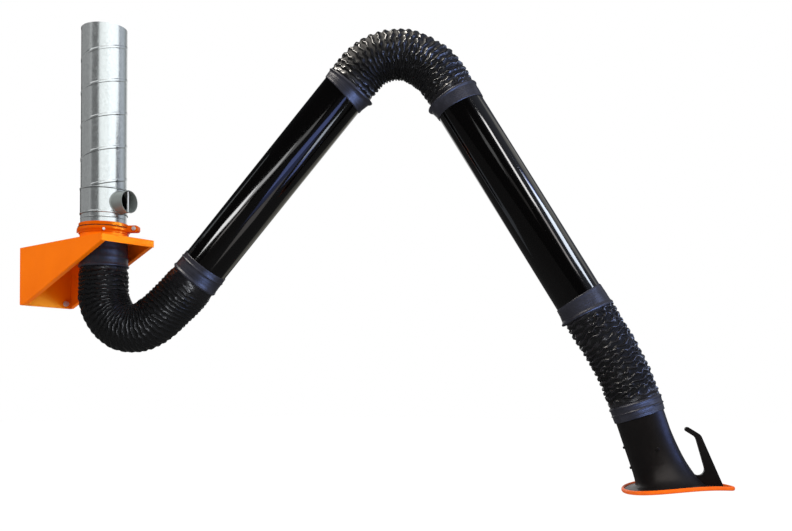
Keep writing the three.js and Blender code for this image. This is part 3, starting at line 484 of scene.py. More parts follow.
def hose_fabric():
    """Coated cloth: near black with painted shade and dull between the ribs, shiny on them, greyer where the
    greying value is high.
    """
    finish = Finish("hose_fabric", Specular_IOR_Level=0.5)
    rise = finish.attribute("rise")
    worn = finish.cloud(45, 4)
    clean = finish.blend(worn, (0.0015, 0.0014, 0.0016), (0.003, 0.0028, 0.0034))
    # a lighter grey tone for the ribs, mixed in by the greying value
    greyed_tone = finish.blend(worn, (0.016, 0.015, 0.018), (0.030, 0.028, 0.034))
    tone = finish.blend(finish.attribute("greying"), clean, greyed_tone)
    # painted shade: between the ribs the colour falls to near black, for the shadow in the pleats
    finish.colour(finish.blend(finish.spread(rise, 0, 1, 0.05, 0.9), (0.001, 0.0009, 0.0009), tone))
    finish.rough(finish.spread(rise, 0.05, 0.6, 0.85, finish.wander(120, 0.2, 0.34)))
    finish.grain(900, 0.1, 0.0005)
    finish.grain(160, 0.12, 0.0015, 3)
    return finish.material


def cuff_rubber():
    finish = Finish("cuff_rubber", Specular_IOR_Level=0.4)
    finish.colour(finish.blend(finish.cloud(25, 4), (0.016, 0.016, 0.022), (0.026, 0.026, 0.036)))
    finish.rough(finish.wander(90, 0.34, 0.46))
    finish.grain(700, 0.08, 0.0004)
    finish.grain(70, 0.12, 0.0018)
    return finish.material


def moulded_plastic():
    finish = Finish("moulded_plastic", Specular_IOR_Level=0.35)
    finish.colour(finish.blend(finish.cloud(12, 4), (0.0036, 0.0026, 0.0025), (0.006, 0.0046, 0.0044)))
    finish.rough(finish.wander(60, 0.36, 0.46))
    finish.grain(1100, 0.12, 0.0003)
    return finish.material


def trim_rubber():
    finish = Finish("trim_rubber", Specular_IOR_Level=0.2)
    finish.colour(finish.blend(finish.cloud(30, 3), (0.90, 0.125, 0.002), (0.97, 0.155, 0.004)))
    finish.rough(finish.wander(150, 0.34, 0.5))
    finish.grain(600, 0.08, 0.0004)
    return finish.material


def plain_plastic(name, dark, light):
    finish = Finish(name)
    finish.colour(finish.blend(finish.noise(60, 3), dark, light))
    finish.rough(finish.wander(200, 0.4, 0.55, 2))
    finish.grain(800, 0.06, 0.0003)
    return finish.material


finishes = {
    "orange_paint": powder_coat("powder_coat", (0.89, 0.158, 0.0), (0.95, 0.18, 0.0), 0.3),
    # painted shade: a darker, redder copy of the orange powder coat, for the shade on the collar
    "shaded_collar_paint": powder_coat("shaded_collar_paint", (0.60, 0.085, 0.0), (0.70, 0.105, 0.0), 0.2),
    "galvanised": galvanised_sheet(),
    "zinc": plated("zinc_plate", (0.70, 0.71, 0.72), 0.26, 0.42, 0.7),
    # painted shade: a darker grey-green copy of the galvanised sheet, less metallic, for the shaded inside of
    # the branch pipe
    "sheet_in_painted_shade": plated("sheet_in_painted_shade", (0.26, 0.285, 0.27), 0.28, 0.4, 0.5),
    "steel": plated("plain_steel", (0.36, 0.36, 0.37), 0.3, 0.5),
    "gloss_black": gloss_paint(),
    "hose": hose_fabric(),
    "cuff": cuff_rubber(),
    "hood_black": moulded_plastic(),
    "trim_orange": trim_rubber(),
    "nylon": plain_plastic("nylon", (0.62, 0.61, 0.56), (0.72, 0.71, 0.66)),
    "seal_rubber": plain_plastic("seal_rubber", (0.008, 0.008, 0.008), (0.014, 0.014, 0.014)),
}

for part in frame["record"]["subparts"]:
    node = frame["nodes"][part["node"]]
    node.data.materials.clear()
    node.data.materials.append(finishes[part["material_slot"]])


# Surfaces


def six_volumes(spots, triangles):
    """Six times the volume between the origin and some triangles."""
    first, second, third = (spots[triangles[:, corner]] for corner in range(3))
    return np.einsum("ij,ij->", first, np.cross(second, third))


def shell(points, close_rows=True, close_columns=True):
    """Closed surface over a grid of points: quads between neighbours, and one face over each open end."""
    rows, columns = points.shape[:2]
    index = np.arange(rows * columns).reshape(rows, columns)
    here, below = (index, np.roll(index, -1, 0)) if close_rows else (index[:-1], index[1:])
    if close_columns:
        quads = np.stack([here, np.roll(here, -1, 1), np.roll(below, -1, 1), below], -1).reshape(-1, 4)
    else:
        quads = np.stack([here[:, :-1], here[:, 1:], below[:, 1:], below[:, :-1]], -1).reshape(-1, 4)
    ends = []
    if not close_rows:
        ends += [index[0][::-1], index[-1]]
    if not close_columns:
        ends += [index[:, 0], index[:, -1][::-1]]
    spots = points.reshape(-1, 3)
    middle = spots - spots.mean(0)
    volume = six_volumes(middle, quads[:, [0, 1, 2]]) + six_volumes(middle, quads[:, [0, 2, 3]])
    for end in ends:
        fan = np.stack([np.full(len(end) - 2, end[0]), end[1:-1], end[2:]], -1)
        volume += six_volumes(middle, fan)
    faces = quads.tolist() + [end.tolist() for end in ends]
    if volume < 0:
        faces = [face[::-1] for face in faces]
    return spots, faces


def add(name, shells, slot, body=None, nodes=(), bevel=0, sharp=40, values=None, finish=None):
    """One object made of closed shells, with its slot's finish or its own.

    It rides on body and stands for nodes. Edges past the angle sharp are shaded as edges, and a bevel rounds
    those past BEVEL_ANGLE. Values are numbers for each point, which the finish reads."""
    spots = np.concatenate([places for places, _ in shells]) * MM
    faces = []
    offset = 0
    for places, shell_faces in shells:
        faces += [[corner + offset for corner in face] for face in shell_faces]
        offset += len(places)
    mesh = bpy.data.meshes.new(name)
    mesh.from_pydata(spots.tolist(), [], faces)
    for attribute, numbers in (values or {}).items():
        mesh.attributes.new(attribute, "FLOAT", "POINT").data.foreach_set("value", numbers.ravel())
    mesh.shade_smooth()
    mesh.set_sharp_from_angle(angle=sharp * DEG)
    mesh.materials.append(finishes[finish or slot])
    obj = bpy.data.objects.new(name, mesh)
    scene.collection.objects.link(obj)
    if bevel:
        modifier = obj.modifiers.new("rounded_edges", "BEVEL")
        modifier.width = bevel * MM
        modifier.segments = 3
        modifier.limit_method = "ANGLE"
        modifier.angle_limit = BEVEL_ANGLE * DEG
        modifier.harden_normals = True
    if nodes:
        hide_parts(*nodes)
    if body:
        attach(obj, body)
    return obj


def frame_of(origin, along, across, up):
    return np.array([origin, along, across, up], float)


def place(axes, along, across, up):
    """Points of a frame: its origin plus three distances along its directions."""
    along, across, up = np.broadcast_arrays(along, across, up)
    return axes[0] + along[..., None] * axes[1] + across[..., None] * axes[2] + up[..., None] * axes[3]


def rings(axes, along, radius, around):
    """Points round a frame's axis: distances along it, radii, and angles from its upward direction."""
    return place(axes, along, radius * np.sin(around), radius * np.cos(around))


def angles(sides):
    return np.arange(sides) * (2 * np.pi / sides)


def turned(axes, profile, sides=ROUND, solid=False):
    """A profile (distance along the axis, radius) turned once about the frame's axis."""
    along, radius = np.asarray(profile, float).T[:, :, None]
    return shell(rings(axes, along, radius, angles(sides)), close_rows=not solid)


def soften(corners, radius, steps=5):
    """An outline with each corner rounded by a short curve, at most 0.45 of the sides beside it."""
    corners = np.asarray(corners, float)
    share = np.linspace(0, 1, steps)[None, :, None]

    def cut(neighbour):
        run = neighbour - corners
        length = np.linalg.norm(run, axis=1, keepdims=True)
        return corners + run / length * np.minimum(np.reshape(radius, (-1, 1)), 0.45 * length)

    before = cut(np.roll(corners, 1, 0))
    after = cut(np.roll(corners, -1, 0))
    return parabola(before[:, None], corners[:, None], after[:, None], share).reshape(-1, corners.shape[1])


def parabola(start, corner, end, share):
    """Curve from start to end that leaves and arrives along the lines to a corner."""
    return (1 - share) ** 2 * start + 2 * share * (1 - share) * corner + share**2 * end


def cubic(start, first, second, end, share):
    """Curve from start to end with two handles."""
    return (
        (1 - share) ** 3 * start
        + 3 * share * (1 - share) ** 2 * first
        + 3 * share**2 * (1 - share) * second
        + share**3 * end
    )


def smooth(value):
    """Eases from 0 to 1 as value goes from 0 to 1: three squares less two cubes."""
    value = np.clip(value, 0, 1)
    return value * value * (3 - 2 * value)


def bump_at(value, middle, width):
    """A bell of height 1 about a middle: e to minus the square of the distance in widths."""
    return np.exp(-(((value - middle) / width) ** 2))


def uneven(rows, columns, cells_along, cells_around, seed, slant=0):
    """Smooth random field from -1 to 1 over a grid.

    It runs between random values on a coarse lattice, which closes round the columns. With a slant, the
    lattice shifts round by that many cells from the first row to the last."""
    lattice = np.random.default_rng(seed).uniform(-1, 1, (cells_along + 2, cells_around))
    share = np.linspace(0, 1, rows)[:, None]
    along = share * cells_along
    around = (np.arange(columns) * (cells_around / columns) + slant * share) % cells_around
    row, column = along.astype(int), around.astype(int) % cells_around
    down, right = smooth(along - row), smooth(around - column)
    beside = (column + 1) % cells_around
    upper = lattice[row, column] * (1 - right) + lattice[row, beside] * right
    lower = lattice[row + 1, column] * (1 - right) + lattice[row + 1, beside] * right
    return upper * (1 - down) + lower * down


# Frames

X, Y, Z = np.eye(3)
CONSOLE = frame_of((0, 0, 0), X, Y, Z)
TOWER = frame_of((SWIVEL_X, 0, CONSOLE_HALF), Z, Y, X)
ARM_OUT = np.array([np.cos(ARM_YAW), np.sin(ARM_YAW), 0])
ARM_ACROSS = np.array([-np.sin(ARM_YAW), np.cos(ARM_YAW), 0])
ARM = frame_of(TOWER[0], ARM_OUT, ARM_ACROSS, Z)
HANG = frame_of(TOWER[0], Z, ARM_ACROSS, ARM_OUT)


def arm_axis(start, elevation):
    """Frame of an axis in the arm's plane: along it, level across the arm, and square to both."""
    rise, run = np.sin(elevation), np.cos(elevation)
    origin = place(ARM, start[0], 0, start[1])
    return frame_of(origin, run * ARM_OUT + rise * Z, ARM_ACROSS, run * Z - rise * ARM_OUT)


def ahead(start, elevation, distance):
    """A place in the arm's plane, a distance from another along a slope."""
    return (start[0] + distance * np.cos(elevation), start[1] + distance * np.sin(elevation))


ELBOW_CORNER = ahead(BASE_CORNER, LOWER_ELEVATION, ELBOW_AT)
WRIST = ahead(ELBOW_CORNER, UPPER_ELEVATION, WRIST_AT)
LOWER = arm_axis(BASE_CORNER, LOWER_ELEVATION)
UPPER = arm_axis(ELBOW_CORNER, UPPER_ELEVATION)
NECK = arm_axis(WRIST, NECK_ELEVATION)


def radial_axis(yaw, level):
    """Frame of an axis that points out of the tower at a level."""
    out = np.array([np.cos(yaw), np.sin(yaw), 0])
    return frame_of(TOWER[0] + level * Z, out, np.array([-np.sin(yaw), np.cos(yaw), 0]), Z)


def prism(axes, outline, low, high):
    """An outline (along, up) of a frame, drawn out across it from low to high."""
    along, up = np.asarray(outline, float).T
    return shell(place(axes, along, np.array([[low], [high]], float), up), close_rows=False)


def hex_head(axes, foot, top, radius):
    """A six-sided head whose top corners are turned off round."""
    around = angles(SMALL_ROUND)
    flat = radius * np.cos(30 * DEG)
    six = flat / np.cos((around + 30 * DEG) % (60 * DEG) - 30 * DEG)
    corner_drop = (six - flat) * HEAD_SLOPE
    rows = [
        (np.full(SMALL_ROUND, foot), six),
        (top - np.sign(top - foot) * corner_drop, six),
        (np.full(SMALL_ROUND, top), np.full(SMALL_ROUND, HEAD_FLAT * flat)),
    ]
    return shell(np.stack([rings(axes, along, reach, around) for along, reach in rows]), close_rows=False)


def disc(axes, foot, top, radius, round_off=0.4):
    """A solid round disc with its upper edge rounded."""
    side = np.sign(top - foot)
    profile = [(foot, radius), (top - side * round_off, radius), (top, radius - round_off)]
    return turned(axes, profile, SMALL_ROUND, solid=True)


# Console


def cheek(side):
    """Bent sheet: a grid of distances from the wall by places round the section.

    The section runs down the outer face, round the bend, along the lip and back."""
    foot = -CONSOLE_HALF
    inner = CONSOLE_HALF - SHEET
    front = CONSOLE_DEPTH - SHEET - GAP
    slope = np.arctan2(CONSOLE_HALF - APRON_HEIGHT - foot, front - CHEEK_FOOT)
    lip_rise = SHEET / np.cos(slope)
    x = np.array([0, CHEEK_FOOT, CHEEK_FOOT + LIP_SETBACK, 40, *np.linspace(60, front, 12)])
    low = foot + np.maximum(x - CHEEK_FOOT, 0) * np.tan(slope)
    lip = np.where(x < CHEEK_FOOT + 1, 0.5, LIP_WIDTH)
    turn = np.linspace(0, np.pi / 2, 6)[:, None]
    outer_y = CONSOLE_HALF - BEND_RADIUS * (1 - np.cos(turn)) + np.zeros_like(x)
    outer_z = low + BEND_RADIUS * (1 - np.sin(turn))
    inner_bend = BEND_RADIUS - SHEET
    inner_y = inner - inner_bend * (1 - np.cos(turn[::-1])) + np.zeros_like(x)
    inner_z = low + lip_rise + inner_bend * (1 - np.sin(turn[::-1]))
    level = np.full_like(x, CONSOLE_HALF)
    y = np.vstack([level, outer_y, inner - lip, inner - lip, inner_y, level - SHEET])
    z = np.vstack([level, outer_z, low, low + lip_rise, inner_z, level])
    return shell(place(CONSOLE, x, side * y, z), close_columns=False)


def holed_plate(half):
    """Flat plate: rays from the neck's round hole to the edge of the plate, over the top and back below."""
    per_side = 48
    front = CONSOLE_DEPTH - APRON_LAP
    corners = np.array([(0, -half), (front, -half), (front, half), (0, half)], float)
    share = np.arange(per_side)[:, None] / per_side
    edge = np.concatenate([a + (b - a) * share for a, b in zip(corners, np.roll(corners, -1, 0))])
    middle = np.array([SWIVEL_X, 0])
    ray = edge - middle
    hole = middle + ray / np.linalg.norm(ray, axis=1, keepdims=True) * NECK_BORE
    flat = hole + (edge - hole) * np.linspace(0, 1, 6)[:, None, None]
    plan = np.concatenate([flat, flat[::-1]])
    level = np.repeat([CONSOLE_HALF, CONSOLE_HALF - SHEET], len(flat))[:, None]
    return shell(place(CONSOLE, plan[..., 0], plan[..., 1], level))


def apron(half):
    """Bent front edge: an angle section with a rounded bend, drawn out across the console."""
    back, front, top = CONSOLE_DEPTH - APRON_LAP, CONSOLE_DEPTH, CONSOLE_HALF
    foot = top - APRON_HEIGHT
    turn = np.linspace(0, np.pi / 2, 7)
    bend_x = front - BEND_RADIUS * (1 - np.sin(turn))
    bend_z = top - BEND_RADIUS * (1 - np.cos(turn))
    x = np.array([back, *bend_x, front, front - SHEET, front - SHEET, back])
    z = np.array([top, *bend_z, foot, foot, top - SHEET, top - SHEET])
    width = np.where(x > front - SHEET - 0.1, CONSOLE_HALF, half)
    width[-2] = half
    y = width[:, None] * np.array([-1, 1])
    return shell(place(CONSOLE, x[:, None], y, z[:, None]), close_columns=False)


def add_console():
    """Two bent cheeks, flat wall and top plates, four bolts, and a neck: a profile turned round."""
    for name, side in (("cheek_near", -1), ("cheek_far", 1)):
        add(f"{name}_sheet", [cheek(side)], "orange_paint", "bracket", [name], bevel=0.5, sharp=30)

    foot = -CONSOLE_HALF
    half = CONSOLE_HALF - SHEET - GAP
    plate = prism(CONSOLE, [(0, foot), (WALL_PLATE, foot), (WALL_PLATE, half), (0, half)], -half, half)
    add("wall_plate_sheet", [plate], "orange_paint", "bracket", ["wall_plate"], bevel=0.6)

    top = [holed_plate(half), apron(half)]
    add("top_plate_sheet", top, "orange_paint", "bracket", ["top_plate"], bevel=0.5)

    seat = WALL_PLATE + GAP
    spots = [(0, y, z) for z in (-WALL_BOLT_Z, WALL_BOLT_Z) for y in (-WALL_BOLT_Y, WALL_BOLT_Y)]
    for number, spot in enumerate(spots, 1):
        axes = frame_of(spot, X, Y, Z)
        washer = disc(axes, seat, seat + WASHER_TOP, WASHER_RADIUS)
        head = hex_head(axes, seat + WASHER_TOP, seat + BOLT_HEAD_TOP, BOLT_HEAD_RADIUS)
        tip = disc(axes, seat + BOLT_HEAD_TOP - 0.5, seat + BOLT_TIP_TOP, BOLT_TIP_RADIUS, 0.8)
        add(f"wall_bolt_{number}_hex", [washer, head, tip], "zinc", "bracket", [f"wall_bolt_{number}"])

    neck = [
        (GAP, NECK_BORE),
        (GAP, WELD_RADIUS),
        (WELD_TOP - 2, WELD_RADIUS - 0.4),
        (WELD_TOP, NECK_RADIUS),
        (NECK_RIM_FOOT, NECK_RADIUS),
        (NECK_RIM_FOOT, JOINT_RADIUS),
        (NECK_TOP, JOINT_RADIUS),
        (NECK_TOP, NECK_BORE),
    ]
    tube = turned(TOWER, soften(neck, NECK_ROUND))
    add("console_neck_tube", [tube], "orange_paint", "bracket", ["console_neck"])


# Swivel collar and duct


def add_collar():
    """Clamp: a profile turned round from one side of its slit to the other, with two ears and screws."""
    (slope_foot, widest_foot), (widest_top, slope_top) = COLLAR_SLOPES
    groove_foot, groove_top = GROOVE_LEVELS
    profile = [
        (COLLAR_FOOT, NECK_RADIUS + GAP),
        (COLLAR_FOOT, COLLAR_RIM),
        (slope_foot, COLLAR_RIM),
        (widest_foot, COLLAR_WIDEST),
        (widest_top, COLLAR_WIDEST),
        (slope_top, COLLAR_RIM),
        (COLLAR_TOP, COLLAR_RIM - 0.6),
        (COLLAR_TOP, DUCT_RADIUS + GAP),
        (groove_top, DUCT_RADIUS + GAP),
        (groove_top - 1, JOINT_RADIUS + GAP),
        (groove_foot + 1, JOINT_RADIUS + GAP),
        (groove_foot, NECK_RADIUS + GAP),
    ]
    along, radius = soften(profile, COLLAR_ROUND).T[:, :, None]
    slit = LUG_SLIT / 2 / COLLAR_RIM
    around = np.linspace(LUG_YAW + slit, LUG_YAW + 2 * np.pi - slit, ROUND)
    ring = shell(rings(TOWER, along, radius, around), close_columns=False)
    lug = radial_axis(LUG_YAW, 0)
    low, high = LUG_LEVELS
    outline = [(LUG_ROOT, low), (LUG_REACH, low), (LUG_REACH, high), (LUG_ROOT, high)]
    outline = soften(outline, [1, LUG_ROUND, LUG_ROUND, 1], 8)
    sides = ((-LUG_HALF_WIDTH, -LUG_SLIT / 2), (LUG_SLIT / 2, LUG_HALF_WIDTH))
    ears = [prism(lug, outline, *side) for side in sides]
    # the clamp takes the darker copy of the orange paint, as painted shade
    add("swivel_collar_clamp", [ring, *ears], "orange_paint", "bracket", ["swivel_collar"], 0.7, 50,
        finish="shaded_collar_paint")

    bolt = frame_of(place(lug, LUG_BOLT_REACH, 0, (low + high) / 2), lug[2], lug[1], Z)
    end = LUG_HALF_WIDTH + LUG_BOLT_END
    pieces = [turned(bolt, [(-end, LUG_BOLT_RADIUS), (end, LUG_BOLT_RADIUS)], SMALL_ROUND, solid=True)]
    for side in (-1, 1):
        foot, top = side * (LUG_HALF_WIDTH + GAP), side * (LUG_HALF_WIDTH + LUG_HEAD_TOP)
        pieces.append(hex_head(bolt, foot, top, LUG_HEAD_RADIUS))
    add("collar_bolt_hex", pieces, "zinc", "bracket", ["collar_bolt"])
    for number, yaw in enumerate(COLLAR_SCREW_YAWS, 1):
        axes = radial_axis(yaw, COLLAR_SCREW_LEVEL)
        shank = disc(axes, NECK_RADIUS + 1, COLLAR_RIM + 3, COLLAR_SCREW_RADIUS)
        head = hex_head(axes, COLLAR_RIM + 1, COLLAR_RIM + 5.5, COLLAR_SCREW_HEAD)
        add(f"collar_screw_{number}_hex", [shank, head], "zinc", "bracket", [f"collar_screw_{number}"])


def holed_band():
    """Band round the duct: a profile with a bead at each edge, turned round.

    The faces over the branch's hole are left out."""
    around = BRANCH_YAW + angles(240)
    level = np.linspace(BRANCH_FOOT, BRANCH_TOP, 72)
    from_edge = np.minimum(level - BRANCH_FOOT, BRANCH_TOP - level)
    radius = BRANCH_RADIUS + BRANCH_BEAD * smooth((6 - from_edge) / 2)
    spots, faces = shell(rings(TOWER, level[:, None], radius[:, None], around), close_rows=False)
    quads = np.array(faces[:-2])
    middle = spots[quads].mean(1) - TOWER[0]
    branch = radial_axis(BRANCH_YAW, BRANCH_LEVEL)
    from_axis = np.hypot(middle @ branch[2], middle[:, 2] - BRANCH_LEVEL)
    keep = (from_axis > SPIGOT_RADIUS + 1) | (middle @ branch[1] < 0)
    return spots, quads[keep].tolist()


def saddle_pipe(axes):
    """Branch pipe: rings round its axis, as radius, distance and 1 or 0.

    A ring with a 1 follows the duct's round wall."""
    around = angles(96)
    profile = [
        (SPIGOT_BORE, 0.5, 1),
        (SPIGOT_SADDLE, 0.4, 1),
        (SPIGOT_SADDLE, 1.2, 1),
        (SPIGOT_SADDLE - 0.6, 1.6, 1),
        (SPIGOT_RADIUS + 2, 1.7, 1),
        (SPIGOT_RADIUS + 0.8, 2.3, 1),
        (SPIGOT_RADIUS + 0.2, 3.6, 1),
        (SPIGOT_RADIUS, 5.5, 1),
        (SPIGOT_RADIUS, SPIGOT_REACH - 4, 0),
        (SPIGOT_RADIUS + 0.9, SPIGOT_REACH - 3, 0),
        (SPIGOT_RADIUS + 1.5, SPIGOT_REACH - 1.8, 0),
        (SPIGOT_RADIUS + 1.2, SPIGOT_REACH - 0.5, 0),
        (SPIGOT_RADIUS + 0.3, SPIGOT_REACH, 0),
        (SPIGOT_BORE + 0.4, SPIGOT_REACH - 0.2, 0),
        (SPIGOT_BORE, SPIGOT_REACH - 1.2, 0),
    ]
    radius, step, on_wall = np.array(profile, float).T[:, :, None]
    wall = np.sqrt(BRANCH_RADIUS**2 - (radius * np.sin(around)) ** 2)
    return shell(rings(axes, step + on_wall * wall, radius, around))


def spiral_sheet():
    """Duct: a cylinder whose wall rises along one winding line, its seam, and a plain bore."""
    rows, sides = 660, FINE_ROUND
    height = np.linspace(DUCT_FOOT, DUCT_TOP, rows)[:, None]
    around = angles(sides)
    turn = ((height - DUCT_FOOT - SEAM_START) / SEAM_PITCH - around / (2 * np.pi) + 0.5) % 1 - 0.5
    from_seam = np.abs(turn) * SEAM_PITCH / SEAM_WIDTH
    ridge = SEAM_HEIGHT * smooth(SEAM_STEEPNESS - from_seam * SEAM_STEEPNESS)
    wave = DUCT_WAVE * uneven(rows, sides, 14, 9, 3)
    outside = DUCT_RADIUS - SEAM_HEIGHT / 2 + ridge + wave
    bore = np.full((2, sides), DUCT_RADIUS - SEAM_HEIGHT - DUCT_WALL)
    along = np.concatenate([height, height[[-1, 0]]])
    return shell(rings(TOWER, along, np.concatenate([outside, bore]), around))


def add_duct():
    """Nipple (a profile turned round), band, branch pipe with a bar across it, and spiral duct."""
    nipple = [
        (NIPPLE_FOOT, NIPPLE_BORE),
        (NIPPLE_FOOT, JOINT_RADIUS),
        (NIPPLE_FOOT + 3, JOINT_RADIUS),
        (NIPPLE_FOOT + 4, DUCT_RADIUS),
        (NIPPLE_BEAD_AT - 2.5, DUCT_RADIUS),
        (NIPPLE_BEAD_AT, NIPPLE_BEAD),
        (NIPPLE_BEAD_AT + 2.5, DUCT_RADIUS),
        (BRANCH_FOOT - 4, DUCT_RADIUS),
        (BRANCH_FOOT - GAP, DUCT_RADIUS),
        (BRANCH_FOOT, NIPPLE_PLUG),
        (NIPPLE_TOP, NIPPLE_PLUG),
        (NIPPLE_TOP, NIPPLE_BORE),
    ]
    tube = turned(TOWER, soften(nipple, NIPPLE_ROUND))
    add("duct_nipple_sheet", [tube], "galvanised", "bracket", ["duct_nipple"])

    band = add("branch_collar_sheet", [holed_band()], "galvanised", "bracket", ["branch_collar"])
    wall = band.modifiers.new("wall", "SOLIDIFY")
    wall.thickness = DUCT_WALL * MM
    wall.offset = -1

    spigot = radial_axis(BRANCH_YAW, BRANCH_LEVEL)
    bar_axes = frame_of(place(spigot, SPIGOT_REACH - SPIGOT_BAR_SETBACK, 0, 0), Z, spigot[2], spigot[1])
    end = SPIGOT_BORE + 0.5
    bar = turned(bar_axes, [(-end, SPIGOT_BAR_RADIUS), (end, SPIGOT_BAR_RADIUS)], SMALL_ROUND, solid=True)
    # the branch pipe takes the darker copy of the galvanised sheet, as painted shade
    for name, piece, finish in (("pipe", saddle_pipe(spigot), "sheet_in_painted_shade"), ("bar", bar, "zinc")):
        add(f"branch_spigot_{name}", [piece], "galvanised", "bracket", ["branch_spigot"], finish=finish)

    add("spiral_duct_sheet", [spiral_sheet()], "galvanised", "bracket", ["spiral_duct"])


# Arm tubes and cuffs


def add_tubes():
    """Plain pipes: a section of the wall turned round each link's axis."""
    for name, axes, start, body in (
        ("lower_tube", LOWER, LOWER_TUBE_START, "lower_arm"),
        ("upper_tube", UPPER, UPPER_TUBE_START, "upper_arm"),
    ):
        end = start + TUBE_LENGTH
        corners = [(start, TUBE_BORE), (start, TUBE_RADIUS), (end, TUBE_RADIUS), (end, TUBE_BORE)]
        pipe = turned(axes, soften(corners, TUBE_ROUND), FINE_ROUND)
        add(f"{name}_pipe", [pipe], "gloss_black", body, [name])


def cuff(axes, ends, bore, ridges, seed, lip=(0, 0, 1), tube_skew=(0, 0), hose_skew=(0, 0)):
    """Sleeve round a tube's end: rings from the tube end to the hose end and back through the bore.

    The outside is a plain sleeve, plus ridges (distance from the hose end, height, width), plus a lip at the
    hose end that stands out on one side (height, angle, length). Both ends may run askew (distance,
    angle). A gap is left before the hose."""
    rows, sides = 72, ROUND
    around = angles(sides)
    tube_end, hose_end = ends
    to_hose = np.sign(hose_end - tube_end)
    hose_end -= to_hose * GAP
    length = abs(hose_end - tube_end)
    share = np.linspace(0, 1, rows)[:, None]
    from_hose = (1 - share) * length
    body = CUFF_LIP - CUFF_EDGE * smooth(1 - share * length / 2) + (CUFF_BODY - CUFF_LIP) * share
    for distance, height, width in ridges:
        body = body + height * bump_at(from_hose, distance, width)
    lip_height, lip_angle, lip_length = lip
    side = np.maximum(np.cos(around - lip_angle), 0) ** 2
    flare = lip_height * side * np.exp(-from_hose / lip_length)
    edge = CUFF_EDGE * smooth(1 - from_hose / 1.5)
    wide, round_it = CUFF_CREASES
    creases = wide * uneven(rows, sides, 4, 7, seed) + round_it * uneven(rows, sides, 18, 4, seed + 1)
    outside = body + flare - edge + creases
    tube_line = tube_end - to_hose * tube_skew[0] * np.cos(around - tube_skew[1])
    hose_line = hose_end + to_hose * hose_skew[0] * (1 + np.cos(around - hose_skew[1])) / 2
    along = tube_line + (hose_line - tube_line) * share
    inside = np.stack([bore + flare[-1], np.full(sides, bore)])
    along = np.concatenate([along, along[[-1, 0]]])
    return shell(rings(axes, along, np.concatenate([outside, inside]), around))


def add_cuffs():
    """The six cuffs: where each begins and meets its hose, its bore, ridges, lip and skew."""
    on_swivel = SWIVEL_TUBE_RADIUS + GAP
    on_tube = TUBE_RADIUS + GAP
    round_hood = HOOD_NECK_RADIUS + 4 * GAP
    base_arm = (LOWER_TUBE_START + BASE_CUFF_LENGTH, BASE_HOSE_END)
    elbow_lower = (LOWER_TUBE_START + TUBE_LENGTH - LOWER_ELBOW_CUFF_LENGTH, ELBOW_HOSE_START)
    elbow_upper = (UPPER_TUBE_START + UPPER_ELBOW_CUFF_LENGTH, ELBOW_HOSE_END)
    wrist_upper = (UPPER_TUBE_START + TUBE_LENGTH - WRIST_CUFF_LENGTH, WRIST_HOSE_START)
    bead = (5, 3.4, 4.5)
    below = np.pi
    for name, body, axes, ends, bore, ridges, extras in (
        ("cuff_base_top", "swivel", HANG, (BASE_TOP_CUFF_START, BASE_HOSE_TOP), on_swivel,
         [bead, (30, 1.0, 6), (52, 0.8, 7)], {}),
        ("cuff_base_arm", "lower_arm", LOWER, base_arm, on_tube, [(6, 3.0, 4), (46, 2.2, 3)],
         {"tube_skew": (3, 2)}),
        ("cuff_elbow_lower", "lower_arm", LOWER, elbow_lower, on_tube, [bead],
         {"lip": (13, below, 12), "tube_skew": (-9, 0)}),
        ("cuff_elbow_upper", "upper_arm", UPPER, elbow_upper, on_tube, [bead],
         {"lip": (11, below, 14), "tube_skew": (7, 0)}),
        ("cuff_wrist_upper", "upper_arm", UPPER, wrist_upper, on_tube, [bead],
         {"lip": (8, below, 12), "tube_skew": (3, 1), "hose_skew": (18, 0)}),
        ("cuff_wrist_hood", "wrist", NECK, (HOOD_CUFF_END, WRIST_HOSE_END), round_hood,
         [(6, 3.0, 3), (26, 3.0, 2.4)], {}),
    ):
        piece = cuff(axes, ends, bore, ridges, len(name), **extras)
        add(f"{name}_sleeve", [piece], "cuff", body, [name], sharp=60)


# Hoses


def bent_line(start, corner, end, bend, shares):
    """A line in the arm's plane that runs straight, bends round and runs straight on.

    Returns its points and normals at shares of its length, and its length."""
    start, corner, end = (np.array(spot, float) for spot in (start, corner, end))
    into = (corner - start) / np.linalg.norm(corner - start)
    out = (end - corner) / np.linalg.norm(end - corner)
    side = np.sign(into[0] * out[1] - into[1] * out[0])
    turn = np.arccos(into @ out)
    straight_in = np.linalg.norm(corner - start) - bend * np.tan(turn / 2)
    straight_out = np.linalg.norm(end - corner) - bend * np.tan(turn / 2)
    length = straight_in + bend * turn + straight_out
    distance = shares * length
    heading_angle = np.arctan2(into[1], into[0]) + side * np.clip((distance - straight_in) / bend, 0, turn)
    heading = np.stack([np.cos(heading_angle), np.sin(heading_angle)], -1)
    normal = np.stack([-heading[:, 1], heading[:, 0]], -1)
    left = np.array([-into[1], into[0]])
    centre = start + into * straight_in + left * side * bend
    over = np.minimum(distance - straight_in, 0) + np.maximum(distance - length + straight_out, 0)
    return centre - normal * side * bend + heading * over[:, None], normal, length


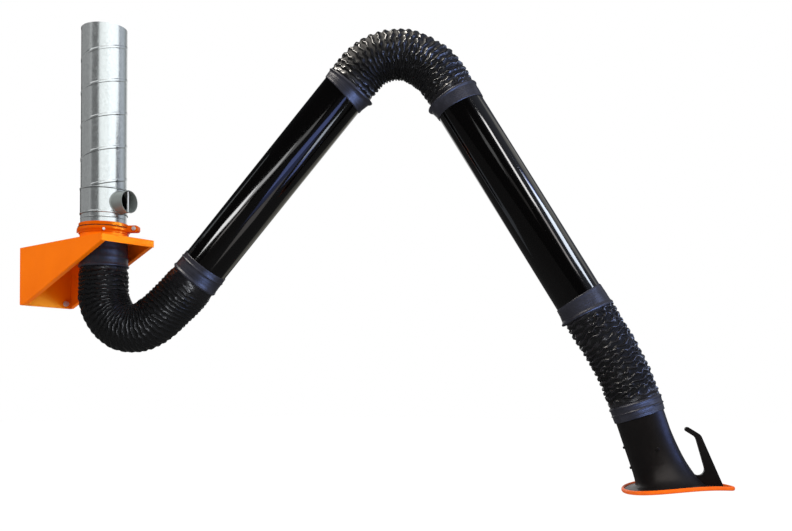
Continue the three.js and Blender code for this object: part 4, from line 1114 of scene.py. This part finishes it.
def hose_surface(route, pleats, seed):
    """Ribbed hose: rings along a bent line, each with a radius that changes round it.

    The radius is a root and a bulge, plus the rise of a wire (depth, sharpness) that winds as a screw. The
    wire's line sways, and runs in a zigzag of some kinks that drifts from rib to rib. Folds stand between the
    wires. Over a length at each end the hose is calm and has slanting wrinkles instead. Swellings (height,
    share of the length, width, angle, power) are added, and the line itself bows aside (distance, share of
    the length, width). The bore runs back inside. A greying value lightens the skin on the ribs, most of all
    at the calm ends; the bore gets neither rise nor greying, so it keeps the valleys' painted shade."""
    ribs, sides = pleats["ribs"], pleats["sides"]
    rows = ribs * pleats["rows_per_rib"] + 1
    share = np.linspace(0, 1, rows)
    around = angles(sides)
    middle, normal, length = bent_line(*route, share)
    coarse = uneven(rows, sides, max(ribs // 2, 4), 7, seed)
    fine = uneven(rows, sides, ribs, 22, seed + 1)
    folds = uneven(rows, sides, ribs * 2, 30, seed + 2)
    slanted = 0.6 - 1.5 * np.abs(uneven(rows, sides, 6, 14, seed + 3, pleats["slant"]))
    drift = KINK_DRIFT * uneven(rows, sides, ribs, 4, seed + 4)
    kink = np.sin(pleats["kinks"] * around + drift) * (1 + KINK_UNEVEN * coarse)
    turns = ribs * share[:, None] + around / (2 * np.pi)
    phase = turns + pleats["sway"] * coarse + pleats["zigzag"] * (kink + 0.5 * fine)
    wire = (0.5 + 0.5 * np.cos(2 * np.pi * phase)) ** pleats["sharpness"]

    from_start, from_end = share[:, None] * length, (1 - share[:, None]) * length
    from_edge = np.minimum(from_start, from_end)
    full = smooth(from_start / pleats["calm"][0]) * smooth(from_end / pleats["calm"][1])
    edge = smooth(from_edge / HOSE_EDGE)
    height = 1 + RISE_UNEVEN * coarse + RISE_UNEVEN * fine
    rise = (HOSE_CREST - HOSE_ROOT) * pleats["depth"] * height
    bulge = pleats["bulge"] * smooth(from_edge / BULGE_LENGTH)
    radius = HOSE_ROOT + bulge + rise * wire * (CALM_RISE + (1 - CALM_RISE) * full) * edge
    radius = radius + pleats["fold"] * folds * full * (1 - 0.6 * wire)
    radius = np.maximum(radius + pleats["wrinkle"] * slanted * (1 - full) * edge, pleats["bore"] + 1)

    back = np.linspace(1, 0, 3 * ribs + 1)
    inner_middle, inner_normal, _ = bent_line(*route, back)
    radius = np.concatenate([radius, np.full((len(back), sides), pleats["bore"])])
    middle = np.concatenate([middle, inner_middle])
    normal = np.concatenate([normal, inner_normal])
    distance = np.concatenate([share, back])[:, None] * length
    for sideways, at, width in pleats["bows"]:
        middle = middle + normal * sideways * bump_at(distance, at * length, width)
    for height, at, width, angle, power in pleats["swellings"]:
        facing = np.maximum(np.cos(around - angle), 0) ** power
        radius = radius + height * bump_at(distance, at * length, width) * facing

    out = middle[:, None] + normal[:, None] * (radius * np.cos(around))[..., None]
    points = place(ARM, out[..., 0], radius * np.sin(around), out[..., 1])
    # painted shade: the bore gets no rise and no greying, so it takes the near black of the valleys
    bore_in_painted_shade = np.zeros((len(back), sides))
    # greying: a level for each hose, raised over the calm ends
    greying = np.broadcast_to(pleats["greying"] + CALM_GREYING * (1 - full), wire.shape)
    values = {"rise": wire * full + CALM_SHINE * (1 - full), "greying": greying}
    return shell(points), {name: np.concatenate([level, bore_in_painted_shade]) for name, level in values.items()}


def add_hoses():
    """The three hoses, each from one cuff to the next, between the two bodies it joins."""
    base_end = ahead(BASE_CORNER, LOWER_ELEVATION, BASE_HOSE_END)
    base_route = ((0, BASE_HOSE_TOP), BASE_CORNER, base_end, BASE_BEND)
    elbow_start = ahead(BASE_CORNER, LOWER_ELEVATION, ELBOW_HOSE_START)
    elbow_end = ahead(ELBOW_CORNER, UPPER_ELEVATION, ELBOW_HOSE_END)
    elbow_route = (elbow_start, ELBOW_CORNER, elbow_end, ELBOW_BEND)
    wrist_start = ahead(ELBOW_CORNER, UPPER_ELEVATION, WRIST_HOSE_START)
    wrist_end = ahead(WRIST, NECK_ELEVATION, WRIST_HOSE_END)
    wrist_route = (wrist_start, WRIST, wrist_end, WRIST_BEND)
    wrist_turn = (
        ahead(ELBOW_CORNER, UPPER_ELEVATION, WRIST_TURN_START),
        ahead(WRIST, NECK_ELEVATION, WRIST_TURN_END),
    )
    for name, route, pleats, bodies, turn in (
        ("base_hose", base_route, FINE_PLEATS, ("swivel", "lower_arm"), BASE_TURN),
        ("elbow_hose", elbow_route, WAVY_PLEATS, ("lower_arm", "upper_arm"), ELBOW_TURN),
        ("wrist_hose", wrist_route, LOOSE_PLEATS, ("upper_arm", "wrist"), wrist_turn),
    ):
        surface, values = hose_surface(route, pleats, len(name))
        piece = add(f"{name}_skin", [surface], "hose", nodes=[name], sharp=180, values=values)
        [place(ARM, spot[0], 0, spot[1]) * MM for spot in turn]
        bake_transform(piece)


def add_spring():
    """Coil about the shoulder's pivot with two straight legs: rings of the wire along the winding."""
    share = np.linspace(0, 1, SPRING_TURNS * 32 + 1)
    wind = 2 * np.pi * SPRING_TURNS * share
    half = SPRING_PITCH * SPRING_TURNS / 2
    coil = np.stack([SPRING_RADIUS * np.cos(wind), half * (2 * share - 1), SPRING_RADIUS * np.sin(wind)], -1)
    leg = np.linspace(SPRING_LEG, 3, 8)[:, None]
    first = np.array([[SPRING_RADIUS, -half, 0]]) - leg * Z
    last = np.array([[SPRING_RADIUS, half, 0]]) + leg[::-1] * Z
    path = np.concatenate([first, coil, last])
    heading = np.gradient(path, axis=0)
    heading /= np.linalg.norm(heading, axis=1, keepdims=True)
    level = np.cross(heading, Y)
    level /= np.linalg.norm(level, axis=1, keepdims=True)
    upward = np.cross(level, heading)
    around = angles(12)[:, None]
    ring = np.cos(around)[None] * level[:, None] + np.sin(around)[None] * upward[:, None]
    spots = path[:, None] + ring * SPRING_WIRE / 2
    points = place(ARM, SHOULDER[0] + spots[..., 0], spots[..., 1], SHOULDER[1] + spots[..., 2])
    piece = add("balance_spring_wire", [shell(points, close_rows=False)], "steel", nodes=["balance_spring"])
    ends = [place(ARM, SHOULDER[0], side * half, SHOULDER[1]) * MM for side in (-1, 1)]
    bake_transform(piece)


# Hood


def on_mouth(middle, forward, sideways, drop):
    """Hood places from distances in the tilted mouth's plane: distance along the neck, across, and up."""
    along = middle[0] + forward * np.sin(MOUTH_TILT) + drop * np.cos(MOUTH_TILT)
    up = middle[1] + forward * np.cos(MOUTH_TILT) - drop * np.sin(MOUTH_TILT)
    return np.stack(np.broadcast_arrays(along, sideways, up), -1)


def arch_at(around):
    """How far the mouth's edge is raised: most at the sides, a little more towards the front."""
    return np.sin(around) ** 2 * (FLANGE_ARCH + FLANGE_ARCH_LEAN * np.cos(around))


def flange_edge(around, grow, drop):
    """Edge of the hood's flange: an egg-shaped line in the mouth's plane, raised along its sides."""
    forward = (FLANGE_HALF[0] + grow) * np.cos(around)
    sideways = (FLANGE_HALF[1] + grow) * np.sin(around) * (1 - FLANGE_NARROWING * np.cos(around))
    return on_mouth(FLANGE_MIDDLE, forward, sideways, drop - arch_at(around))


def hood_wall(around, inset):
    """Lines down the hood: round neck, smooth flare to the mouth's oval root, rounded turn, flange."""
    radius = HOOD_NECK_RADIUS - inset
    zero = np.zeros_like(around)
    top, start = (
        np.stack([zero + at, radius * np.sin(around), radius * np.cos(around)], -1)
        for at in (HOOD_NECK_TOP, HOOD_FLARE_AT)
    )
    root = on_mouth(
        MOUTH_ROOT,
        (MOUTH_ROOT_HALF[0] - inset) * np.cos(around),
        (MOUTH_ROOT_HALF[1] - inset) * np.sin(around),
        inset - ROOT_ARCH * arch_at(around),
    )
    pull = FLARE_PULL * np.linalg.norm(root - start, axis=-1, keepdims=True)
    at_sides, at_front = FLARE_END_LEAN
    lean = np.stack([zero + 1, at_sides * np.sin(around), at_front * (1 + np.cos(around))], -1)
    lean /= np.linalg.norm(lean, axis=-1, keepdims=True)
    outward = FLARE_START_LEAN * (1 + np.cos(around))[:, None] * Z
    share = np.linspace(0, 1, FLARE_ROWS)[:, None, None]
    flare = cubic(start, start + (X + outward) * pull, root - lean * pull, root, share)
    edge = flange_edge(around, 0, inset)
    least, more_at_sides = FILLET_LANDING
    landing = root + (edge - root) * (least + more_at_sides * np.sin(around) ** 2)[:, None]
    step = np.linspace(0, 1, 8)[:, None, None]
    turn = parabola(flare[FLARE_FILLET_FROM], root, landing, step)
    flange = landing + (edge - landing) * step[1:]
    return np.concatenate([top[None], flare[:FLARE_FILLET_FROM], turn, flange])


def handle_curve(points, steps):
    """Points of a cubic curve, from its two ends and the two handles between them."""
    return cubic(*(np.array(point, float) for point in points), np.linspace(0, 1, steps)[:, None])


def handle_outline():
    """Outline of the hook (along the neck, up): foot in the hood's wall, crook, round tip, back."""
    lines = hood_wall(np.zeros(1), HOOD_WALL / 2)[:, 0]
    wall = lines[:, [0, 2]]
    foot = wall[(wall[:, 0] > HANDLE_FOOT[0]) & (wall[:, 1] < HANDLE_FOOT[1])][::-1]
    turn = np.linspace(*HANDLE_TIP_TURN, 16)[:, None] * DEG
    return np.concatenate([
        foot,
        handle_curve((foot[-1] + (0.5, 1.5), *HANDLE_CROOK), 14),
        handle_curve(HANDLE_INNER, 6),
        HANDLE_TIP + HANDLE_TIP_RADIUS * np.concatenate([np.cos(turn), np.sin(turn)], 1),
        handle_curve(HANDLE_BACK, 6),
    ])


def add_hood():
    """Shell, trim (an oval section carried round the flange's edge), hook, screws and damper shaft."""
    around = angles(ROUND)
    lines = np.concatenate([hood_wall(around, 0), hood_wall(around, HOOD_WALL)[::-1]])
    wall = shell(place(NECK, *np.moveaxis(lines, -1, 0)))
    add("hood_shell_moulding", [wall], "hood_black", "hood", ["hood_shell"], sharp=50)

    section = angles(24)[:, None]
    grow = GAP + TRIM_HALF[0] * (1 + np.cos(section))
    drop = HOOD_WALL / 2 + TRIM_HALF[1] * np.sin(section)
    lines = flange_edge(angles(240)[None], grow, drop)
    trim = shell(place(NECK, *np.moveaxis(lines, -1, 0)))
    add("edge_trim_bead", [trim], "trim_orange", "hood", ["edge_trim"], sharp=180)

    hook = prism(NECK, handle_outline(), -HANDLE_HALF, HANDLE_HALF)
    add("hood_handle_hook", [hook], "hood_black", "hood", ["hood_handle"], bevel=4, sharp=50)

    for number, at in enumerate(HOOD_SCREWS_AT, 1):
        axes = frame_of(place(NECK, at, 0, 0), -NECK[3], NECK[2], NECK[1])
        shank = disc(axes, HOOD_SCREW_FOOT, HOOD_SCREW_FACE, HOOD_SCREW_RADIUS)
        head = disc(axes, HOOD_SCREW_FACE - 1, HOOD_SCREW_FACE + 3, HOOD_SCREW_HEAD, 1.2)
        add(f"hood_screw_{number}_pan", [shank, head], "hood_black", "hood", [f"hood_screw_{number}"])

    axes = frame_of(place(NECK, DAMPER_AT, 0, DAMPER_OFFSET), -NECK[2], NECK[1], NECK[3])
    end = DAMPER_SHAFT_END
    line = [(-end, DAMPER_SHAFT_RADIUS), (end - 1, DAMPER_SHAFT_RADIUS)]
    rod = turned(axes, line, SMALL_ROUND, solid=True)
    button = disc(axes, end - 2, end + 2, DAMPER_BUTTON, 1)
    add("damper_shaft_rod", [rod, button], "hood_black", "damper", ["damper_shaft"])


add_console()
add_collar()
add_duct()
add_tubes()
add_cuffs()
add_hoses()
add_spring()
add_hood()


# Stage


def emptied(owner):
    """Wiring over the cleared shader tree of a material or a world."""
    owner.use_nodes = True
    owner.node_tree.nodes.clear()
    return Wiring(owner.node_tree)


def add_floor():
    """A wide pale floor: nearly white for the camera, with the object's shadow, and grey in gloss."""
    mesh = bpy.data.meshes.new("floor")
    half = FLOOR_HALF
    plan = ((-half, -half), (half, -half), (half, half), (-half, half))
    mesh.from_pydata([(*corner, FLOOR_LEVEL) for corner in plan], [], [(0, 1, 2, 3)])
    floor = bpy.data.objects.new("floor", mesh)
    scene.collection.objects.link(floor)
    material = bpy.data.materials.new("pale_floor")
    wiring = emptied(material)
    path = wiring.add("ShaderNodeLightPath")
    surface = wiring.add("ShaderNodeBsdfDiffuse", {"Color": (*FLOOR_SHADE, 1)})[0]
    for kind, (strength, share) in (("Is Camera Ray", FLOOR_SEEN), ("Is Glossy Ray", FLOOR_MIRRORED)):
        glow = wiring.add("ShaderNodeEmission", {"Strength": strength})[0]
        surface = wiring.mix(wiring.maths("MULTIPLY", path[kind], share), surface, glow)
    wiring.add("ShaderNodeOutputMaterial", {"Surface": surface})
    mesh.materials.append(material)


def add_world():
    """White for the camera, an even light for dull surfaces, and in gloss a room.

    The room is dim, with the white backdrop behind the object and a pale wall to the right and up."""
    scene.world = bpy.data.worlds.new("studio")
    wiring = emptied(scene.world)
    path = wiring.add("ShaderNodeLightPath")
    ray = wiring.add("ShaderNodeTexCoord")["Generated"]

    def towards(direction, low, high):
        """Rises from 0 to 1 as the ray's share of a direction rises from low to high."""
        share = wiring.add("ShaderNodeVectorMath", {0: ray, 1: direction}, operation="DOT_PRODUCT")["Value"]
        limits = {"Value": share, "From Min": low, "From Max": high}
        return wiring.add("ShaderNodeMapRange", limits, interpolation_type="SMOOTHSTEP")[0]

    def glow(colour, strength):
        return wiring.add("ShaderNodeBackground", {"Color": (*colour, 1), "Strength": strength})[0]

    def both(first, second):
        return wiring.add("ShaderNodeAddShader", {0: first, 1: second})[0]

    ahead_level = (-np.sin(CAMERA_YAW), np.cos(CAMERA_YAW), 0)
    room = both(glow(ROOM_COLOUR, ROOM_LIGHT), glow(WHITE, towards(ahead_level, *BACKDROP_SPREAD)))
    room = both(room, glow(WALL_COLOUR, towards(WALL_DIRECTION, *WALL_SPREAD)))
    lit = wiring.mix(path["Is Glossy Ray"], glow(WHITE, EVEN_LIGHT), room)
    clear = wiring.maths("MAXIMUM", path["Is Camera Ray"], path["Is Transmission Ray"])
    wiring.add("ShaderNodeOutputWorld", {"Surface": wiring.mix(clear, lit, glow(WHITE, 1.0))})


def add_at(name, data, spot, right, up, back):
    """Puts a lamp or a camera at a spot, with its own three directions."""
    obj = bpy.data.objects.new(name, data)
    turn = np.eye(4)
    turn[:3] = np.stack([right, up, back, spot], 1)
    obj.matrix_world = Matrix(turn.tolist())
    scene.collection.objects.link(obj)
    return obj


def add_lamp(name, spot, facing, along, size, power, colour):
    """Rectangular lamp at a spot; its first size runs along one direction, and it shines against facing."""
    back = facing - (facing @ along) * along
    back /= np.linalg.norm(back)
    lamp = bpy.data.lights.new(name, "AREA")
    lamp.shape = "RECTANGLE"
    lamp.size, lamp.size_y = size
    lamp.energy = power
    lamp.color = colour
    obj = add_at(name, lamp, spot, along, np.cross(back, along), back)
    obj.visible_camera = False
    return obj


def add_soft_lamp(name, spot, size, power, colour):
    """Square lamp that lights the dull surfaces softly and leaves gloss alone."""
    spot = np.array(spot)
    facing = spot - LAMP_TARGET
    along = np.cross(Z, facing)
    obj = add_lamp(name, spot, facing, along / np.linalg.norm(along), (size, size), power, colour)
    obj.visible_glossy = False


def add_gloss_lamp(name, spot, facing, along, size, radiance, colour, receivers):
    """Lamp of a given radiance that shows in the gloss of a group of pieces and nowhere else."""
    power = radiance * np.pi * size[0] * size[1]
    obj = add_lamp(name, spot, facing, along, size, power, colour)
    obj.visible_diffuse = False
    obj.light_linking.receiver_collection = receivers


def group_of(name, pieces):
    """Collection of some pieces, the only ones that a lamp lights."""
    group = bpy.data.collections.new(name)
    for piece in pieces:
        group.objects.link(piece)
    return group


def pieces_with(*names):
    """The pieces that have one of some finishes."""
    wanted = [finishes[name] for name in names]
    meshes = [obj for obj in scene.objects if obj.type == "MESH" and obj.data.materials]
    return [obj for obj in meshes if obj.data.materials[0] in wanted]


def add_panels(middle, panels, pieces):
    """Bright panels round the middle of some pieces, each of them level along its first side."""
    receivers = group_of(f"{next(iter(panels))}_pieces", pieces)
    for name, (direction, size, radiance, colour) in panels.items():
        yaw, elevation = np.array(direction) * DEG
        out = np.array([np.cos(yaw) * np.cos(elevation), np.sin(yaw) * np.cos(elevation), np.sin(elevation)])
        along = np.array([-np.sin(yaw), np.cos(yaw), 0])
        add_gloss_lamp(name, middle + LAMP_DISTANCE * out, out, along, size, radiance, colour, receivers)


def add_hose_panels():
    """The same few panels for every hose, each as bright as that hose needs."""
    for hose, levels in HOSE_RADIANCE.items():
        panels = {}
        for side, radiance in levels.items():
            direction, size, colour = HOSE_PANELS[side]
            panels[f"{hose}_{side}"] = (direction, size, radiance, colour)
        add_panels(ARM_MIDDLE, panels, [bpy.data.objects[f"{hose}_skin"]])


def camera_axes():
    """The camera's directions ahead, to the right and up, from its yaw, pitch and roll."""
    yaw, pitch, roll = CAMERA_YAW, CAMERA_PITCH, CAMERA_ROLL
    forward = np.array([-np.sin(yaw) * np.cos(pitch), np.cos(yaw) * np.cos(pitch), np.sin(pitch)])
    level = np.array([np.cos(yaw), np.sin(yaw), 0])
    upward = np.cross(level, forward)
    right = level * np.cos(roll) + upward * np.sin(roll)
    up = upward * np.cos(roll) - level * np.sin(roll)
    return forward, right, up


def mirrored(axes, pixel):
    """Where the camera's ray through a pixel meets a tube, the way it leaves, and how squarely it meets."""
    forward, right, up = camera_axes()
    focal = CAMERA_LENS / SENSOR * PICTURE[0]
    ahead_x = (pixel[0] - PICTURE[0] / 2) / focal
    ahead_y = (PICTURE[1] / 2 + CAMERA_SHIFT * PICTURE[0] - pixel[1]) / focal
    ray = forward + ahead_x * right + ahead_y * up
    ray /= np.linalg.norm(ray)
    eye = np.array(CAMERA_PLACE) - axes[0] * MM
    flat_ray = ray - (ray @ axes[1]) * axes[1]
    flat_eye = eye - (eye @ axes[1]) * axes[1]
    half, size = flat_ray @ flat_eye, flat_ray @ flat_ray
    short = flat_eye @ flat_eye - (TUBE_RADIUS * MM) ** 2
    reach = (-half - np.sqrt(half**2 - size * short)) / size
    normal = (flat_eye + reach * flat_ray) / (TUBE_RADIUS * MM)
    square = -ray @ normal
    return np.array(CAMERA_PLACE) + reach * ray, ray + 2 * square * normal, square


def add_streaks(name, axes, streaks):
    """Lamps that a tube mirrors as bright lines: each lies along the rays that leave the line's two ends."""
    receivers = group_of(f"{name}_gloss", [bpy.data.objects[f"{name}_tube_pipe"]])
    for number, (first, second, width, level, colour) in enumerate(streaks, 1):
        spot_1, ray_1, square_1 = mirrored(axes, first)
        spot_2, ray_2, square_2 = mirrored(axes, second)
        end_1, end_2 = spot_1 + LAMP_DISTANCE * ray_1, spot_2 + LAMP_DISTANCE * ray_2
        run = end_2 - end_1
        length = np.linalg.norm(run)
        square = (square_1 + square_2) / 2
        size = (length, 2 * width * PIXEL / TUBE_RADIUS / square * LAMP_DISTANCE)
        gloss = TUBE_GLOSS + (1 - TUBE_GLOSS) * (1 - square) ** 5
        middle = (end_1 + end_2) / 2
        facing = middle - (spot_1 + spot_2) / 2
        lamp_name = f"{name}_streak_{number}"
        add_gloss_lamp(lamp_name, middle, facing, run / length, size, level / gloss, colour, receivers)


def add_camera():
    forward, right, up = camera_axes()
    camera = bpy.data.cameras.new("camera")
    camera.lens = CAMERA_LENS
    camera.shift_y = CAMERA_SHIFT
    scene.camera = add_at("camera", camera, CAMERA_PLACE, right, up, -forward)


add_floor()
add_world()
for lamp_name, lamp_settings in SOFT_LAMPS.items():
    add_soft_lamp(lamp_name, *lamp_settings)
add_streaks("lower", LOWER, LOWER_STREAKS)
add_streaks("upper", UPPER, UPPER_STREAKS)
add_panels(DUCT_MIDDLE, DUCT_PANELS, pieces_with("galvanised", "zinc", "sheet_in_painted_shade"))
add_panels(ARM_MIDDLE, CUFF_PANELS, pieces_with("cuff"))
add_hose_panels()
add_panels(HOOD_MIDDLE, HOOD_PANELS, pieces_with("hood_black"))
add_panels(CONSOLE_FRONT, CONSOLE_PANELS, pieces_with("orange_paint", "shaded_collar_paint"))
add_camera()
scene.view_settings.view_transform = "Standard"
